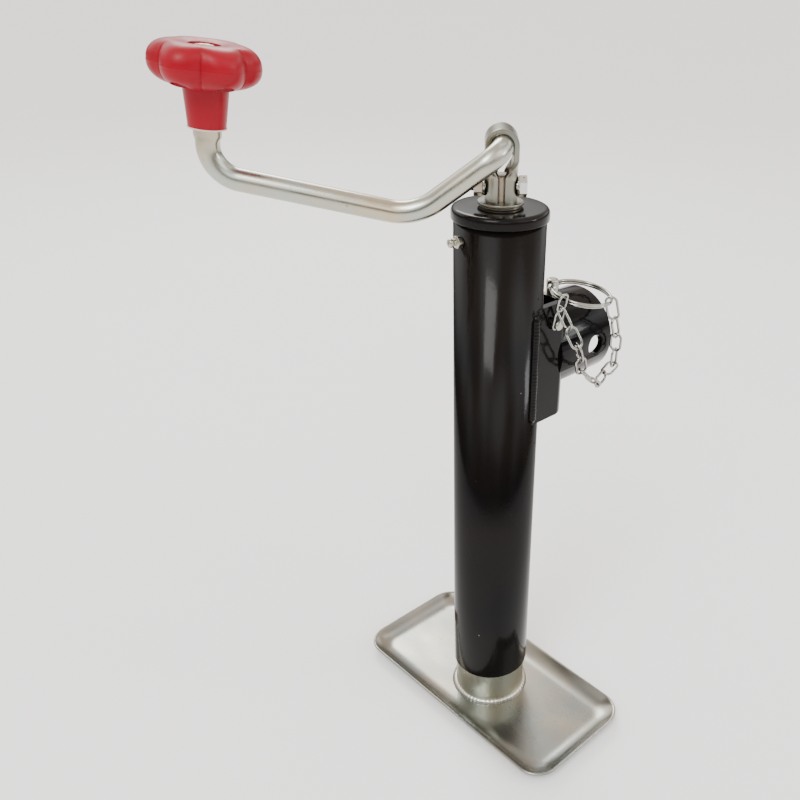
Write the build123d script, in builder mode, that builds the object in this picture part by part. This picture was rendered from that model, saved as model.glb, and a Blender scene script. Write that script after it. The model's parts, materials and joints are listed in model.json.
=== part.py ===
from build123d import *
from math import cos, radians, sin, tan
import os

# Trailer tongue jack: a screw-driven tube jack with a fold-over crank on top, a pipe mount on
# its side and a pressed foot. Millimetres. Z is up along the tube, and the origin is at the
# middle of the foot's underside. +X points along the mounting pipe, away from the tube, and
# the foot's long side lies along Y. The leg is fully retracted and the crank is ready to turn.

os.makedirs("parts", exist_ok=True)

# ---- overall sizes ----
overall_height = 391.0  # foot underside to top of cap
tube_od = 57.15
tube_wall = 1.4
tube_bottom_z = 31.5  # height of the tube's lower end above the ground
leg_wall = 2.5
foot_length = 202.0  # along Y
foot_width = 100.0  # along X
foot_height = 9.5
foot_thickness = 3.4
crank_azimuth = 137.0  # direction of the handle about the tube, degrees from +X

# ---- fits and clearances ----
running_gap = 0.08  # radial, shaft in bore
press_gap = 0.02  # between pieces pressed, welded or bolted together
body_gap = 0.35  # between pieces that move past each other
leg_gap = 0.325  # slide clearance between leg and tube
bolt_gap = 0.15  # radial, bolt in its hole

# ---- foot ----
foot_flare = 48.0  # lean of the rim from upright, degrees
foot_corner = 9.0  # corner radius at the underside
foot_lip_round = 1.2
leg_weld = 3.6

# ---- cap and bearing seat ----
cap_thickness = 2.0
cap_skirt = 7.2
cap_round = 1.9
seat_thickness = 8.0

# ---- spindle: spigot, thrust bearing, collar and lead screw ----
spigot_r = 6.35
spigot_rise = 19.0  # spigot's end above the cap
screw_r = 9.5
screw_lead = 5.08  # leg travel for one turn
bush_wall = 2.6
bush_flange_r = 12.5
bush_flange_thickness = 1.2
washer_r = 14.0
washer_thickness = 1.8
race_r = 17.0
race_thickness = 3.2
ball_r = 2.25
ball_count = 12
ball_pitch_r = 12.2
ball_end_gap = 0.15
cage_wall = 1.6
cage_bore_r = 8.4
cage_r = 16.2
collar_r = 16.0
collar_height = 10.0
cross_pin_r = 2.5
cross_pin_short = 0.5  # pin ends stop this far inside the collar
stop_washer_r = 13.0
stop_washer_thickness = 4.0
stop_pin_drop = 7.0  # stop pin's axis below its washer
screw_tail = 14.0  # screw below the stop washer
screw_foot_gap = 40.0  # least room between screw and foot
nut_height = 28.0
nut_headroom = 15.0  # nut's top below the collar
nut_margin = 1.0  # room left above the stop washer at full travel
screw_chamfer = 1.2

# ---- crank strap and its bolt ----
pivot_rise = 36.3  # handle pivot above the cap
strap_thickness = 3.4
strap_depth = 19.0
strap_neck = 10.6  # width of the flat sides where they meet the wrapped legs
strap_slit = 3.6  # gap between the two legs where they wrap the spigot
strap_shoulder_gap = 0.6  # strap's flat sides end this far above the bolt's washers
strap_taper = 0.6  # share of the flat sides that keeps the full depth
strap_lap = 3.0  # wrapped legs run this far up inside the flat sides
bolt_rise = 12.0  # cross bolt above the cap
bolt_r = 3.175
bolt_flats = 11.1
bolt_head_height = 4.4
bolt_nut_height = 5.4
bolt_tip = 1.4
bolt_washer_r = 6.0
bolt_washer_thickness = 1.2

# ---- handle rod ----
rod_d = 13.0
rod_elbow_r = 13.5
rod_low_bend_r = 34.0
rod_knob_bend_r = 18.0
rod_low_reach = 49.7  # pivot out to the lower bend
rod_low_drop = 37.0  # pivot down to the lower bend
rod_corner_reach = 162.8  # pivot out to the corner under the knob
rod_corner_drop = 15.5
rod_shoulder_rise = 8.6  # pivot up to the shoulder under the knob
rod_back = 5.0  # rod end behind the strap
knob_lean = 6.0  # knob axis leans towards the tube, degrees
ear_width = 15.4
ear_height = 5.0
ear_depth = 9.0
ear_corner_r = 2.0
rod_washer_r = 10.0
rod_washer_thickness = 1.2
rod_clip_r = 9.0
rod_clip_thickness = 1.2

# ---- knob ----
knob_r = 28.8
knob_lobes = 6
knob_lobe_r = 12.3
knob_phase = 40.0  # turn of the lobes about the knob's axis, degrees
knob_body = 22.0
knob_edge_r = 10.0
knob_stem = 21.1
knob_stem_bottom_r = 10.0
knob_stem_top_r = 12.0
knob_stem_run = 4.0  # stem runs this far up inside the body
knob_recess_r = 8.0
knob_recess_depth = 11.0
knob_pocket_r = 5.0
knob_pocket_pitch_r = 20.0  # hollows under the lobes, from the knob's axis
knob_pocket_depth = 8.0
knob_spigot_r = 5.2  # turned end of the rod inside the knob
knob_spigot_tip = 1.5
retainer_r = 7.2
retainer_thickness = 1.0

# ---- side mount ----
bracket_bottom_z = 249.0
bracket_height = 81.5
flange_inset = 0.575  # flange's outer face, in from the tube's side
web_standoff = 8.225  # web's outer face, out from the tube
bracket_thickness = 4.5
bracket_bend_r = 6.0
bracket_corner_r = 8.0
side_weld_r = 3.4
side_weld_inset = 0.5  # bead centre, in towards the tube
side_weld_proud = 0.3  # bead centre, out from the bracket's side
side_weld_short = 3.0  # each bead stops this far from the bracket's ends
pipe_r = 30.15
pipe_wall = 3.9
pipe_length = 45.2  # web to the pipe's open end
pipe_centre_z = 290.7
pipe_edge = 0.8
pipe_weld = 3.5
bolt_hole_r = 7.0
bolt_hole_reach = 27.9  # web to the bolt hole

# ---- lock pin and ring ----
pin_r = 6.35
pin_standoff = 14.2  # web to the lock pin
pin_reach = 18.0  # shank below the top of the pipe
pin_tip = 1.5
pin_collar_r = 7.6
pin_collar_thickness = 0.9
pin_head_r = 4.3
pin_head_height = 12.7  # top of the head above the top of the pipe
pin_head_round = 1.8
eye_rise = 7.2  # ring hole above the top of the pipe
eye_r = 2.95
ring_r = 20.5
ring_wire_r = 1.9
ring_azimuth = -60.0
ring_droop = 8.0

# ---- rivet and tether chain ----
rivet_inset = 13.8  # rivet back from the web
rivet_z = 317.4
rivet_shank_r = 2.4
rivet_standoff = 3.8  # head's underside to the flange
rivet_head_r = 3.4
rivet_head_height = 1.4
rivet_head_round = 0.9
rivet_loop_depth = 2.35  # the first link's hooking point to the flange
rivet_tail_height = 1.6
chain_wire_r = 0.85
chain_loop_width = 7.4  # between the wire's centre lines
chain_play = 0.4  # slack where two loops hook each other
chain_join = 0.45  # overlap of a link's two loops, each side of its middle
chain_sharp_turn = 0.6  # sine of the bend from which a link's wire lies square to the bend
chain_side_gap = 2.15  # least room kept between the flange and where the route starts
chain_end_links = 1  # links that stay with the ring
# where each link hooks the next, from the upright first link to the ring: measured from the
# web, the near side of the pipe or flange, and the pipe's middle
chain_route = [
    (-16.0, -4.25, 38.3),
    (-10.4, -15.85, 15.9),
    (1.4, -11.05, -7.5),
    (19.9, -9.75, -22.7),
    (43.5, -4.85, -17.1),
    (41.6, -6.75, 5.8),
]

# ---- grease nipple ----
nipple_z = 373.5
nipple_azimuth = 171.0
nipple_flats = 7.0
nipple_base = 4.0
nipple_neck_r = 2.0
nipple_neck = 2.0
nipple_ball_r = 3.0

# ---- sizes that follow from the ones above ----
tube_r = tube_od / 2
tube_bore_r = tube_r - tube_wall
leg_r = tube_bore_r - leg_gap
leg_bore_r = leg_r - leg_wall
cap_r = tube_r + press_gap + 1.6
cap_z = overall_height
tube_top_z = cap_z - cap_thickness
seat_z = tube_top_z - seat_thickness
top_race_z = seat_z - race_thickness
ball_z = top_race_z - ball_end_gap - ball_r
low_race_top_z = ball_z - ball_r - ball_end_gap
collar_top_z = low_race_top_z - race_thickness
collar_z = collar_top_z - collar_height
nut_top_z = collar_z - nut_headroom
nut_z = nut_top_z - nut_height
stop_floor_z = foot_thickness + screw_foot_gap + screw_tail + stop_washer_thickness
travel_turns = int((nut_z - nut_margin - stop_floor_z) / screw_lead)
travel = travel_turns * screw_lead
stop_top_z = nut_z - travel - nut_margin
stop_z = stop_top_z - stop_washer_thickness
screw_bottom_z = stop_z - screw_tail
bush_r = spigot_r + running_gap + bush_wall
washer_z = cap_z + bush_flange_thickness + body_gap
strap_z = washer_z + washer_thickness
bolt_z = cap_z + bolt_rise
pivot_z = cap_z + pivot_rise
rod_r = rod_d / 2
strap_neck_drop = pivot_z - (bolt_z + bolt_washer_r + strap_shoulder_gap)
strap_bore_r = rod_r + running_gap
strap_wrap_r = spigot_r + press_gap + strap_thickness
rod_plane = strap_depth / 2 + body_gap + rod_elbow_r  # rod's centre line in front of the tube axis
pipe_top_z = pipe_centre_z + pipe_r
flange_y = tube_r - flange_inset
bracket_width = 2 * flange_y
bracket_web_x = tube_r + web_standoff
pipe_end_x = bracket_web_x + pipe_length
bolt_hole_x = bracket_web_x + bolt_hole_reach
pin_x = bracket_web_x + pin_standoff
rivet_x = bracket_web_x - rivet_inset


def heading(azimuth, climb=0.0):
    """Unit vector at an azimuth from +X, climbing above level, both in degrees."""
    level = cos(radians(climb))
    return Vector(level * cos(radians(azimuth)), level * sin(radians(azimuth)), sin(radians(climb)))


def save(piece, name):
    """Label a finished piece and write its STEP file."""
    piece.label = name
    export_step(piece, f"parts/{name}.step")


def ring_between(outer_r, inner_r, low_z, high_z):
    """Ring, tube or disc about the jack's axis."""
    with BuildPart() as ring:
        with BuildSketch(Plane.XY.offset(low_z)):
            Circle(outer_r)
            if inner_r > 0:
                Circle(inner_r, mode=Mode.SUBTRACT)
        extrude(amount=high_z - low_z)
    return ring


up = Vector(0, 0, 1)
out = heading(crank_azimuth)  # along the handle, away from the tube
back = heading(crank_azimuth - 90)  # along the handle's pivot, away from the rod
crank_plane = Plane(origin=(0, 0, pivot_z), x_dir=out, z_dir=back)
bolt_plane = Plane(origin=(0, 0, bolt_z), x_dir=up, z_dir=out)

# ======== foot and leg ========

flare_slope = tan(radians(foot_flare))
flare_run = foot_height * flare_slope
lip_loss = foot_lip_round * (1 / tan(radians(45 - foot_flare / 2)) - 1)  # taken off by the round
floor_inset = foot_thickness / cos(radians(foot_flare)) - foot_thickness * flare_slope
pan_width = foot_width + 2 * (lip_loss - flare_run)
pan_length = foot_length + 2 * (lip_loss - flare_run)

with BuildPart() as foot_pan:
    with BuildSketch():
        RectangleRounded(pan_width, pan_length, foot_corner)
    extrude(amount=foot_height, taper=-foot_flare)
    with BuildSketch(Plane.XY.offset(foot_thickness)):
        RectangleRounded(
            pan_width - 2 * floor_inset, pan_length - 2 * floor_inset, foot_corner - floor_inset
        )
    extrude(amount=foot_height - foot_thickness, taper=-foot_flare, mode=Mode.SUBTRACT)
    fillet(foot_pan.edges().group_by(Axis.Z)[-1], foot_lip_round)
save(foot_pan.part, "foot_pan")

drop_leg = ring_between(leg_r, leg_bore_r, foot_thickness, nut_top_z)
save(drop_leg.part, "drop_leg")

with BuildPart() as leg_weld_ring:
    with BuildSketch(Plane.XZ):
        with BuildLine():
            Polyline(
                (leg_r, foot_thickness),
                (leg_r + leg_weld, foot_thickness),
                (leg_r, foot_thickness + leg_weld),
                close=True,
            )
        make_face()
    revolve(axis=Axis.Z)
save(leg_weld_ring.part, "leg_weld_ring")

lead_nut = ring_between(leg_bore_r - press_gap, screw_r + running_gap, nut_z, nut_top_z)
save(lead_nut.part, "lead_nut")

# ======== outer tube, cap and bearing seat ========

with BuildPart() as outer_tube:
    with BuildSketch(Plane.XY.offset(tube_bottom_z)):
        Circle(tube_r)
        Circle(tube_bore_r, mode=Mode.SUBTRACT)
    extrude(amount=tube_top_z - tube_bottom_z)
    with BuildSketch(Plane(origin=(0, 0, nipple_z), z_dir=heading(nipple_azimuth))):
        Circle(nipple_neck_r + press_gap)
    extrude(amount=tube_r, mode=Mode.SUBTRACT)
save(outer_tube.part, "outer_tube")

with BuildPart() as top_cap:
    with BuildSketch(Plane.XY.offset(cap_z - cap_skirt)):
        Circle(cap_r)
    extrude(amount=cap_skirt)
    fillet(top_cap.edges().group_by(Axis.Z)[-1], cap_round)
    with BuildSketch(Plane.XY.offset(cap_z - cap_skirt)):
        Circle(tube_r + press_gap)
    extrude(amount=cap_skirt - cap_thickness, mode=Mode.SUBTRACT)
    with BuildSketch(Plane.XY.offset(tube_top_z)):
        Circle(bush_r + press_gap)
    extrude(amount=cap_thickness, mode=Mode.SUBTRACT)
save(top_cap.part, "top_cap")

seat_plate = ring_between(tube_bore_r - press_gap, bush_r + press_gap, seat_z, tube_top_z)
save(seat_plate.part, "bearing_seat_plate")

with BuildPart() as spindle_bush:
    with BuildSketch(Plane.XY.offset(seat_z)):
        Circle(bush_r)
    extrude(amount=cap_z - seat_z)
    with BuildSketch(Plane.XY.offset(cap_z)):
        Circle(bush_flange_r)
    extrude(amount=bush_flange_thickness)
    with BuildSketch(Plane.XY.offset(seat_z)):
        Circle(spigot_r + running_gap)
    extrude(amount=cap_z - seat_z + bush_flange_thickness, mode=Mode.SUBTRACT)
save(spindle_bush.part, "spindle_bush")

top_race = ring_between(race_r, spigot_r + body_gap, top_race_z, seat_z)
save(top_race.part, "bearing_top_race")

# ======== spindle, turning with the crank ========

low_race = ring_between(race_r, spigot_r + press_gap, collar_top_z, low_race_top_z)
save(low_race.part, "bearing_bottom_race")

with BuildPart() as ball_cage:
    with BuildSketch(Plane.XY.offset(ball_z - cage_wall / 2)):
        Circle(cage_r)
        Circle(cage_bore_r, mode=Mode.SUBTRACT)
        with PolarLocations(ball_pitch_r, ball_count):
            Circle(ball_r + ball_end_gap, mode=Mode.SUBTRACT)
    extrude(amount=cage_wall)
save(ball_cage.part, "bearing_ball_cage")

with BuildPart() as bearing_balls:
    with Locations((0, 0, ball_z)):
        with PolarLocations(ball_pitch_r, ball_count):
            Sphere(ball_r)
save(bearing_balls.part, "bearing_balls")

with BuildPart() as lead_screw:
    with BuildSketch(Plane.XY.offset(screw_bottom_z)):
        Circle(screw_r)
    extrude(amount=collar_top_z - screw_bottom_z)
    with BuildSketch(Plane.XY.offset(collar_top_z)):
        Circle(spigot_r)
    extrude(amount=cap_z + spigot_rise - collar_top_z)
    chamfer(lead_screw.edges().group_by(Axis.Z)[0], screw_chamfer)
    chamfer(lead_screw.edges().group_by(Axis.Z)[-1], screw_chamfer)
    for pin_axis_z in (collar_z + collar_height / 2, stop_z - stop_pin_drop):
        with BuildSketch(Plane.YZ):
            with Locations((0, pin_axis_z)):
                Circle(cross_pin_r)
        extrude(amount=screw_r, both=True, mode=Mode.SUBTRACT)
    with BuildSketch(bolt_plane):
        Circle(bolt_r + bolt_gap)
    extrude(amount=spigot_r, both=True, mode=Mode.SUBTRACT)
save(lead_screw.part, "lead_screw")

with BuildPart() as thrust_collar:
    with BuildSketch(Plane.XY.offset(collar_z)):
        Circle(collar_r)
        Circle(screw_r + press_gap, mode=Mode.SUBTRACT)
    extrude(amount=collar_height)
    with BuildSketch(Plane.YZ):
        with Locations((0, collar_z + collar_height / 2)):
            Circle(cross_pin_r)
    extrude(amount=collar_r, both=True, mode=Mode.SUBTRACT)
save(thrust_collar.part, "thrust_collar")


def cross_pin(axis_z, half_length):
    """Plain pin through the screw, along X."""
    with BuildPart() as pin:
        with BuildSketch(Plane.YZ):
            with Locations((0, axis_z)):
                Circle(cross_pin_r - press_gap)
        extrude(amount=half_length, both=True)
    return pin


collar_pin = cross_pin(collar_z + collar_height / 2, collar_r - cross_pin_short)
save(collar_pin.part, "collar_pin")

stop_washer = ring_between(stop_washer_r, screw_r + press_gap, stop_z, stop_top_z)
save(stop_washer.part, "screw_stop_washer")

stop_pin = cross_pin(stop_z - stop_pin_drop, stop_washer_r - cross_pin_short)
save(stop_pin.part, "screw_stop_pin")

cap_washer = ring_between(washer_r, spigot_r + press_gap, washer_z, strap_z)
save(cap_washer.part, "cap_washer")

# Strap: one plate bent over the handle's pivot, its two legs wrapped round the spigot.
with BuildPart() as crank_strap:
    with BuildSketch(crank_plane.offset(-strap_depth / 2)):
        with BuildLine():
            CenterArc((0, 0), strap_bore_r + strap_thickness, 0, 180)
            CenterArc((0, 0), strap_bore_r, 0, 180)
            Line((strap_bore_r, 0), (strap_bore_r + strap_thickness, 0))
            Line((-strap_bore_r, 0), (-strap_bore_r - strap_thickness, 0))
        make_face()
    extrude(amount=strap_depth)
    for side in (-1, 1):
        inner_x = side * strap_bore_r
        with BuildSketch(Plane(crank_plane.origin + out * inner_x, x_dir=back, z_dir=out * side)):
            with BuildLine():
                Polyline(
                    (-strap_depth / 2, 0),
                    (strap_depth / 2, 0),
                    (strap_depth / 2, side * strap_neck_drop * strap_taper),
                    (strap_neck / 2, side * strap_neck_drop),
                    (-strap_neck / 2, side * strap_neck_drop),
                    (-strap_depth / 2, side * strap_neck_drop * strap_taper),
                    close=True,
                )
            make_face()
        extrude(amount=strap_thickness)
    with BuildSketch(Plane.XY.offset(strap_z)):
        Circle(strap_wrap_r)
        Circle(spigot_r + press_gap, mode=Mode.SUBTRACT)
        with Locations(Location((0, 0, 0), (0, 0, crank_azimuth))):
            Rectangle(strap_slit, 3 * strap_wrap_r, mode=Mode.SUBTRACT)
    extrude(amount=pivot_z - strap_neck_drop + strap_lap - strap_z)
    with BuildSketch(bolt_plane):
        Circle(bolt_r + bolt_gap)
    extrude(amount=2 * strap_wrap_r, both=True, mode=Mode.SUBTRACT)
save(crank_strap.part, "crank_strap")

bolt_seat = strap_wrap_r + bolt_washer_thickness

with BuildPart() as strap_bolt:
    with BuildSketch(bolt_plane.offset(-bolt_seat - bolt_head_height)):
        RegularPolygon(bolt_flats / 2, 6, major_radius=False)
    extrude(amount=bolt_head_height)
    with BuildSketch(bolt_plane.offset(-bolt_seat)):
        Circle(bolt_r)
    extrude(amount=2 * bolt_seat + bolt_nut_height + bolt_tip)
save(strap_bolt.part, "strap_bolt")

with BuildPart() as strap_bolt_washers:
    for washer_base in (-bolt_seat, bolt_seat - bolt_washer_thickness):
        with BuildSketch(bolt_plane.offset(washer_base)):
            Circle(bolt_washer_r)
            Circle(bolt_r + bolt_gap, mode=Mode.SUBTRACT)
        extrude(amount=bolt_washer_thickness)
save(strap_bolt_washers.part, "strap_bolt_washers")

with BuildPart() as strap_lock_nut:
    with BuildSketch(bolt_plane.offset(bolt_seat)):
        RegularPolygon(bolt_flats / 2, 6, major_radius=False)
        Circle(bolt_r + press_gap, mode=Mode.SUBTRACT)
    extrude(amount=bolt_nut_height)
save(strap_lock_nut.part, "strap_lock_nut")

# ======== folding handle ========

lean_x = -sin(radians(knob_lean))
lean_y = cos(radians(knob_lean))
shoulder_x = rod_corner_reach + (rod_shoulder_rise + rod_corner_drop) * lean_x / lean_y


def on_crank(across, rise, depth):
    """Point given from the pivot: out along the handle, up, and back along the pivot."""
    return Vector(0, 0, pivot_z) + out * across + up * rise + back * depth


knob_axis = out * lean_x + up * lean_y
shoulder = on_crank(shoulder_x, rod_shoulder_rise, -rod_plane)
knob_plane = Plane(origin=shoulder, x_dir=back, z_dir=knob_axis)
knob_base = body_gap  # knob's lower end above the rod's shoulder
recess_floor = knob_base + knob_stem + knob_body - knob_recess_depth
retainer_z = recess_floor + body_gap

with BuildPart() as handle_rod:
    with BuildLine() as rod_line:
        FilletPolyline(
            on_crank(0, 0, strap_depth / 2 + rod_back),
            on_crank(0, 0, -rod_plane),
            on_crank(rod_low_reach, -rod_low_drop, -rod_plane),
            on_crank(rod_corner_reach, -rod_corner_drop, -rod_plane),
            shoulder,
            radius=[rod_elbow_r, rod_low_bend_r, rod_knob_bend_r],
        )
    with BuildSketch(Plane(origin=rod_line.line @ 0, z_dir=rod_line.line % 0)):
        Circle(rod_r)
    sweep()
    with BuildSketch(knob_plane.offset(-ear_height)):
        RectangleRounded(ear_depth, ear_width, ear_corner_r)
    extrude(amount=ear_height)
    with BuildSketch(knob_plane):
        Circle(knob_spigot_r)
    extrude(amount=retainer_z + retainer_thickness + knob_spigot_tip)
save(handle_rod.part, "handle_rod")

rod_washer_plane = crank_plane.offset(strap_depth / 2 + body_gap)
with BuildPart() as rod_washer:
    with BuildSketch(rod_washer_plane):
        Circle(rod_washer_r)
        Circle(rod_r + press_gap, mode=Mode.SUBTRACT)
    extrude(amount=rod_washer_thickness)
save(rod_washer.part, "pivot_washer")

with BuildPart() as rod_clip:
    with BuildSketch(rod_washer_plane.offset(rod_washer_thickness)):
        Circle(rod_clip_r)
        Circle(rod_r + press_gap, mode=Mode.SUBTRACT)
    extrude(amount=rod_clip_thickness)
save(rod_clip.part, "pivot_push_clip")

with BuildPart() as knob_retainer:
    with BuildSketch(knob_plane.offset(retainer_z)):
        Circle(retainer_r)
        Circle(knob_spigot_r + press_gap, mode=Mode.SUBTRACT)
    extrude(amount=retainer_thickness)
save(knob_retainer.part, "knob_push_nut")

# ======== knob ========

knob_lobe_pitch_r = knob_r - knob_lobe_r
body_plane = knob_plane.offset(knob_base + knob_stem)

with BuildPart() as hand_knob:
    with BuildSketch(body_plane):
        Circle(knob_lobe_pitch_r)
        with PolarLocations(knob_lobe_pitch_r, knob_lobes, start_angle=knob_phase):
            Circle(knob_lobe_r)
    extrude(amount=knob_body)
    with BuildSketch(Plane(origin=body_plane.origin, x_dir=back, z_dir=back.cross(knob_axis))):
        with Locations((0, knob_body / 2)):
            RectangleRounded(2 * knob_r, knob_body, knob_edge_r)
        with Locations((knob_r, knob_body / 2)):
            Rectangle(2 * knob_r, 2 * knob_body, mode=Mode.SUBTRACT)
    revolve(axis=Axis(body_plane.origin, knob_axis), mode=Mode.INTERSECT)
    with BuildSketch(knob_plane.offset(knob_base)):
        Circle(knob_stem_bottom_r)
    with BuildSketch(body_plane.offset(knob_stem_run)):
        Circle(knob_stem_top_r)
    loft()
    with BuildSketch(knob_plane.offset(knob_base)):
        Circle(knob_spigot_r + running_gap)
    extrude(amount=knob_stem + knob_body, mode=Mode.SUBTRACT)
    with BuildSketch(knob_plane.offset(recess_floor)):
        Circle(knob_recess_r)
    extrude(amount=knob_recess_depth, mode=Mode.SUBTRACT)
    with BuildSketch(body_plane):
        with PolarLocations(knob_pocket_pitch_r, knob_lobes, start_angle=knob_phase):
            Circle(knob_pocket_r)
    extrude(amount=knob_pocket_depth, mode=Mode.SUBTRACT)
save(hand_knob.part, "hand_knob")

# ======== side mount ========

with BuildPart() as mount_bracket:
    with BuildSketch(Plane.XY.offset(bracket_bottom_z)) as channel:
        with Locations((bracket_web_x / 2, 0)):
            Rectangle(bracket_web_x, bracket_width)
        fillet(channel.vertices().group_by(Axis.X)[-1], bracket_bend_r)
        with Locations(((bracket_web_x - bracket_thickness) / 2, 0)):
            Rectangle(
                bracket_web_x - bracket_thickness,
                bracket_width - 2 * bracket_thickness,
                mode=Mode.SUBTRACT,
            )
        Circle(tube_r + press_gap, mode=Mode.SUBTRACT)
    extrude(amount=bracket_height)
    with BuildSketch(Plane.XZ) as side_view:
        with Locations((bracket_web_x / 2, bracket_bottom_z + bracket_height / 2)):
            Rectangle(bracket_web_x, bracket_height)
        fillet(side_view.vertices().group_by(Axis.X)[-1], bracket_corner_r)
    extrude(amount=bracket_width, both=True, mode=Mode.INTERSECT)
    with BuildSketch(Plane.XZ.offset(flange_y - bracket_thickness)):
        with Locations((rivet_x, rivet_z)):
            Circle(rivet_shank_r + press_gap)
    extrude(amount=bracket_thickness, mode=Mode.SUBTRACT)
save(mount_bracket.part, "mount_bracket")

side_weld_x = (tube_r**2 - flange_y**2) ** 0.5 - side_weld_inset  # where the flange meets the tube

with BuildPart() as side_welds:
    for side in (-1, 1):
        with BuildSketch(Plane.XY.offset(bracket_bottom_z + side_weld_short)):
            with Locations((side_weld_x, side * (flange_y + side_weld_proud))):
                Circle(side_weld_r)
            Circle(tube_r + press_gap, mode=Mode.SUBTRACT)
            with Locations((bracket_web_x / 2, 0)):
                Rectangle(bracket_web_x, bracket_width + 2 * press_gap, mode=Mode.SUBTRACT)
        extrude(amount=bracket_height - 2 * side_weld_short)
save(side_welds.part, "bracket_weld_beads")

# Pipe, coped over the bracket's rounded corners.
pipe_plane = Plane(origin=(bracket_web_x, 0, pipe_centre_z), x_dir=(0, 1, 0), z_dir=(1, 0, 0))
with BuildPart() as mount_pipe:
    with BuildSketch(pipe_plane.offset(-bracket_bend_r)):
        Circle(pipe_r)
        Circle(pipe_r - pipe_wall, mode=Mode.SUBTRACT)
    extrude(amount=pipe_end_x - bracket_web_x + bracket_bend_r)
    chamfer(mount_pipe.edges().group_by(Axis.X)[-1], pipe_edge)
    with BuildSketch(Plane.XY.offset(bracket_bottom_z)) as bracket_outline:
        with Locations((bracket_web_x / 2, 0)):
            Rectangle(bracket_web_x, bracket_width)
        fillet(bracket_outline.vertices().group_by(Axis.X)[-1], bracket_bend_r)
    extrude(amount=bracket_height, mode=Mode.SUBTRACT)
    with BuildSketch(Plane.XY.offset(pipe_centre_z)):
        with Locations((pin_x, 0)):
            Circle(pin_r + running_gap)
    extrude(amount=pipe_r, both=True, mode=Mode.SUBTRACT)
    with BuildSketch(Plane.XZ):
        with Locations((bolt_hole_x, pipe_centre_z)):
            Circle(bolt_hole_r)
    extrude(amount=pipe_r, both=True, mode=Mode.SUBTRACT)
save(mount_pipe.part, "mount_pipe")

with BuildPart() as pipe_welds:
    with BuildSketch(Plane.XZ):
        with BuildLine():
            Polyline(
                (bracket_web_x, pipe_centre_z + pipe_r),
                (bracket_web_x + pipe_weld, pipe_centre_z + pipe_r),
                (bracket_web_x, pipe_centre_z + pipe_r + pipe_weld),
                close=True,
            )
        make_face()
    revolve(axis=Axis((0, 0, pipe_centre_z), (1, 0, 0)))
    with Locations((bracket_web_x, 0, pipe_centre_z)):
        Box(
            2 * (pipe_weld + press_gap),
            bracket_width - 2 * bracket_bend_r,
            2 * (pipe_r + pipe_weld + press_gap),
            mode=Mode.INTERSECT,
        )
save(pipe_welds.part, "pipe_weld_beads")

# ======== grease nipple ========

nipple_plane = Plane(origin=heading(nipple_azimuth) * tube_r + up * nipple_z, z_dir=heading(nipple_azimuth))
with BuildPart() as grease_nipple:
    with BuildSketch(nipple_plane.offset(-tube_wall)):
        Circle(nipple_neck_r)
    extrude(amount=tube_wall + nipple_base + nipple_neck)
    with BuildSketch(nipple_plane.offset(press_gap)):
        RegularPolygon(nipple_flats / 2, 6, major_radius=False)
    extrude(amount=nipple_base)
    with Locations(nipple_plane.offset(nipple_base + nipple_neck)):
        Sphere(nipple_ball_r)
save(grease_nipple.part, "grease_nipple")

# ======== lock pin and pull ring ========

eye = Vector(pin_x, 0, pipe_top_z + eye_rise)
ring_out = heading(ring_azimuth, -ring_droop)
ring_hinge = heading(ring_azimuth + 90)  # axis of the eye, about which the ring swings

with BuildPart() as lock_pin:
    with BuildSketch(Plane.XY.offset(pipe_top_z - pin_reach)):
        with Locations((pin_x, 0)):
            Circle(pin_r)
    extrude(amount=pin_reach + body_gap)
    chamfer(lock_pin.edges().group_by(Axis.Z)[0], pin_tip)
    with BuildSketch(Plane.XY.offset(pipe_top_z + body_gap)):
        with Locations((pin_x, 0)):
            Circle(pin_collar_r)
    extrude(amount=pin_collar_thickness)
    with BuildSketch(Plane.XY.offset(pipe_top_z + body_gap)):
        with Locations((pin_x, 0)):
            Circle(pin_head_r)
    extrude(amount=pin_head_height - body_gap)
    fillet(lock_pin.edges().group_by(Axis.Z)[-1], pin_head_round)
    with BuildSketch(Plane(origin=eye, z_dir=ring_hinge)):
        Circle(eye_r)
    extrude(amount=2 * pin_head_r, both=True, mode=Mode.SUBTRACT)
save(lock_pin.part, "lock_pin")

ring_plane = Plane(origin=eye + ring_out * ring_r, x_dir=ring_out, z_dir=ring_out.cross(ring_hinge))
with BuildPart() as pull_ring:
    with Locations(ring_plane):
        Torus(ring_r, ring_wire_r)
save(pull_ring.part, "pull_ring")

# ======== rivet and tether chain ========

rivet_plane = Plane(origin=(rivet_x, -flange_y, rivet_z), x_dir=(1, 0, 0), z_dir=(0, -1, 0))
with BuildPart() as chain_rivet:
    with BuildSketch(rivet_plane.offset(rivet_standoff)):
        Circle(rivet_head_r)
    extrude(amount=rivet_head_height)
    fillet(chain_rivet.edges().group_by(Axis.Y)[0], rivet_head_round)
    with BuildSketch(rivet_plane.offset(-bracket_thickness)):
        Circle(rivet_shank_r)
    extrude(amount=bracket_thickness + rivet_standoff)
    with BuildSketch(rivet_plane.offset(-bracket_thickness - rivet_tail_height)):
        Circle(rivet_head_r)
    extrude(amount=rivet_tail_height)
save(chain_rivet.part, "chain_rivet")


def wire_loop(start, end, side):
    """Closed oval of chain wire whose end arcs reach start and end, wide along side."""
    along = (end - start).normalized()
    side = (side - along * side.dot(along)).normalized()
    plane = Plane(origin=(start + end) / 2, x_dir=along, z_dir=along.cross(side))
    straight = (end - start).length - chain_loop_width
    with BuildPart() as loop:
        with BuildLine(plane) as oval:
            for sign in (-1, 1):
                Line(
                    (-straight / 2, sign * chain_loop_width / 2),
                    (straight / 2, sign * chain_loop_width / 2),
                )
                CenterArc((sign * straight / 2, 0), chain_loop_width / 2, -90 * sign, 180)
        with BuildSketch(Plane(origin=oval.line @ 0, z_dir=oval.line % 0)):
            Circle(chain_wire_r)
        sweep()
    return loop


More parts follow.
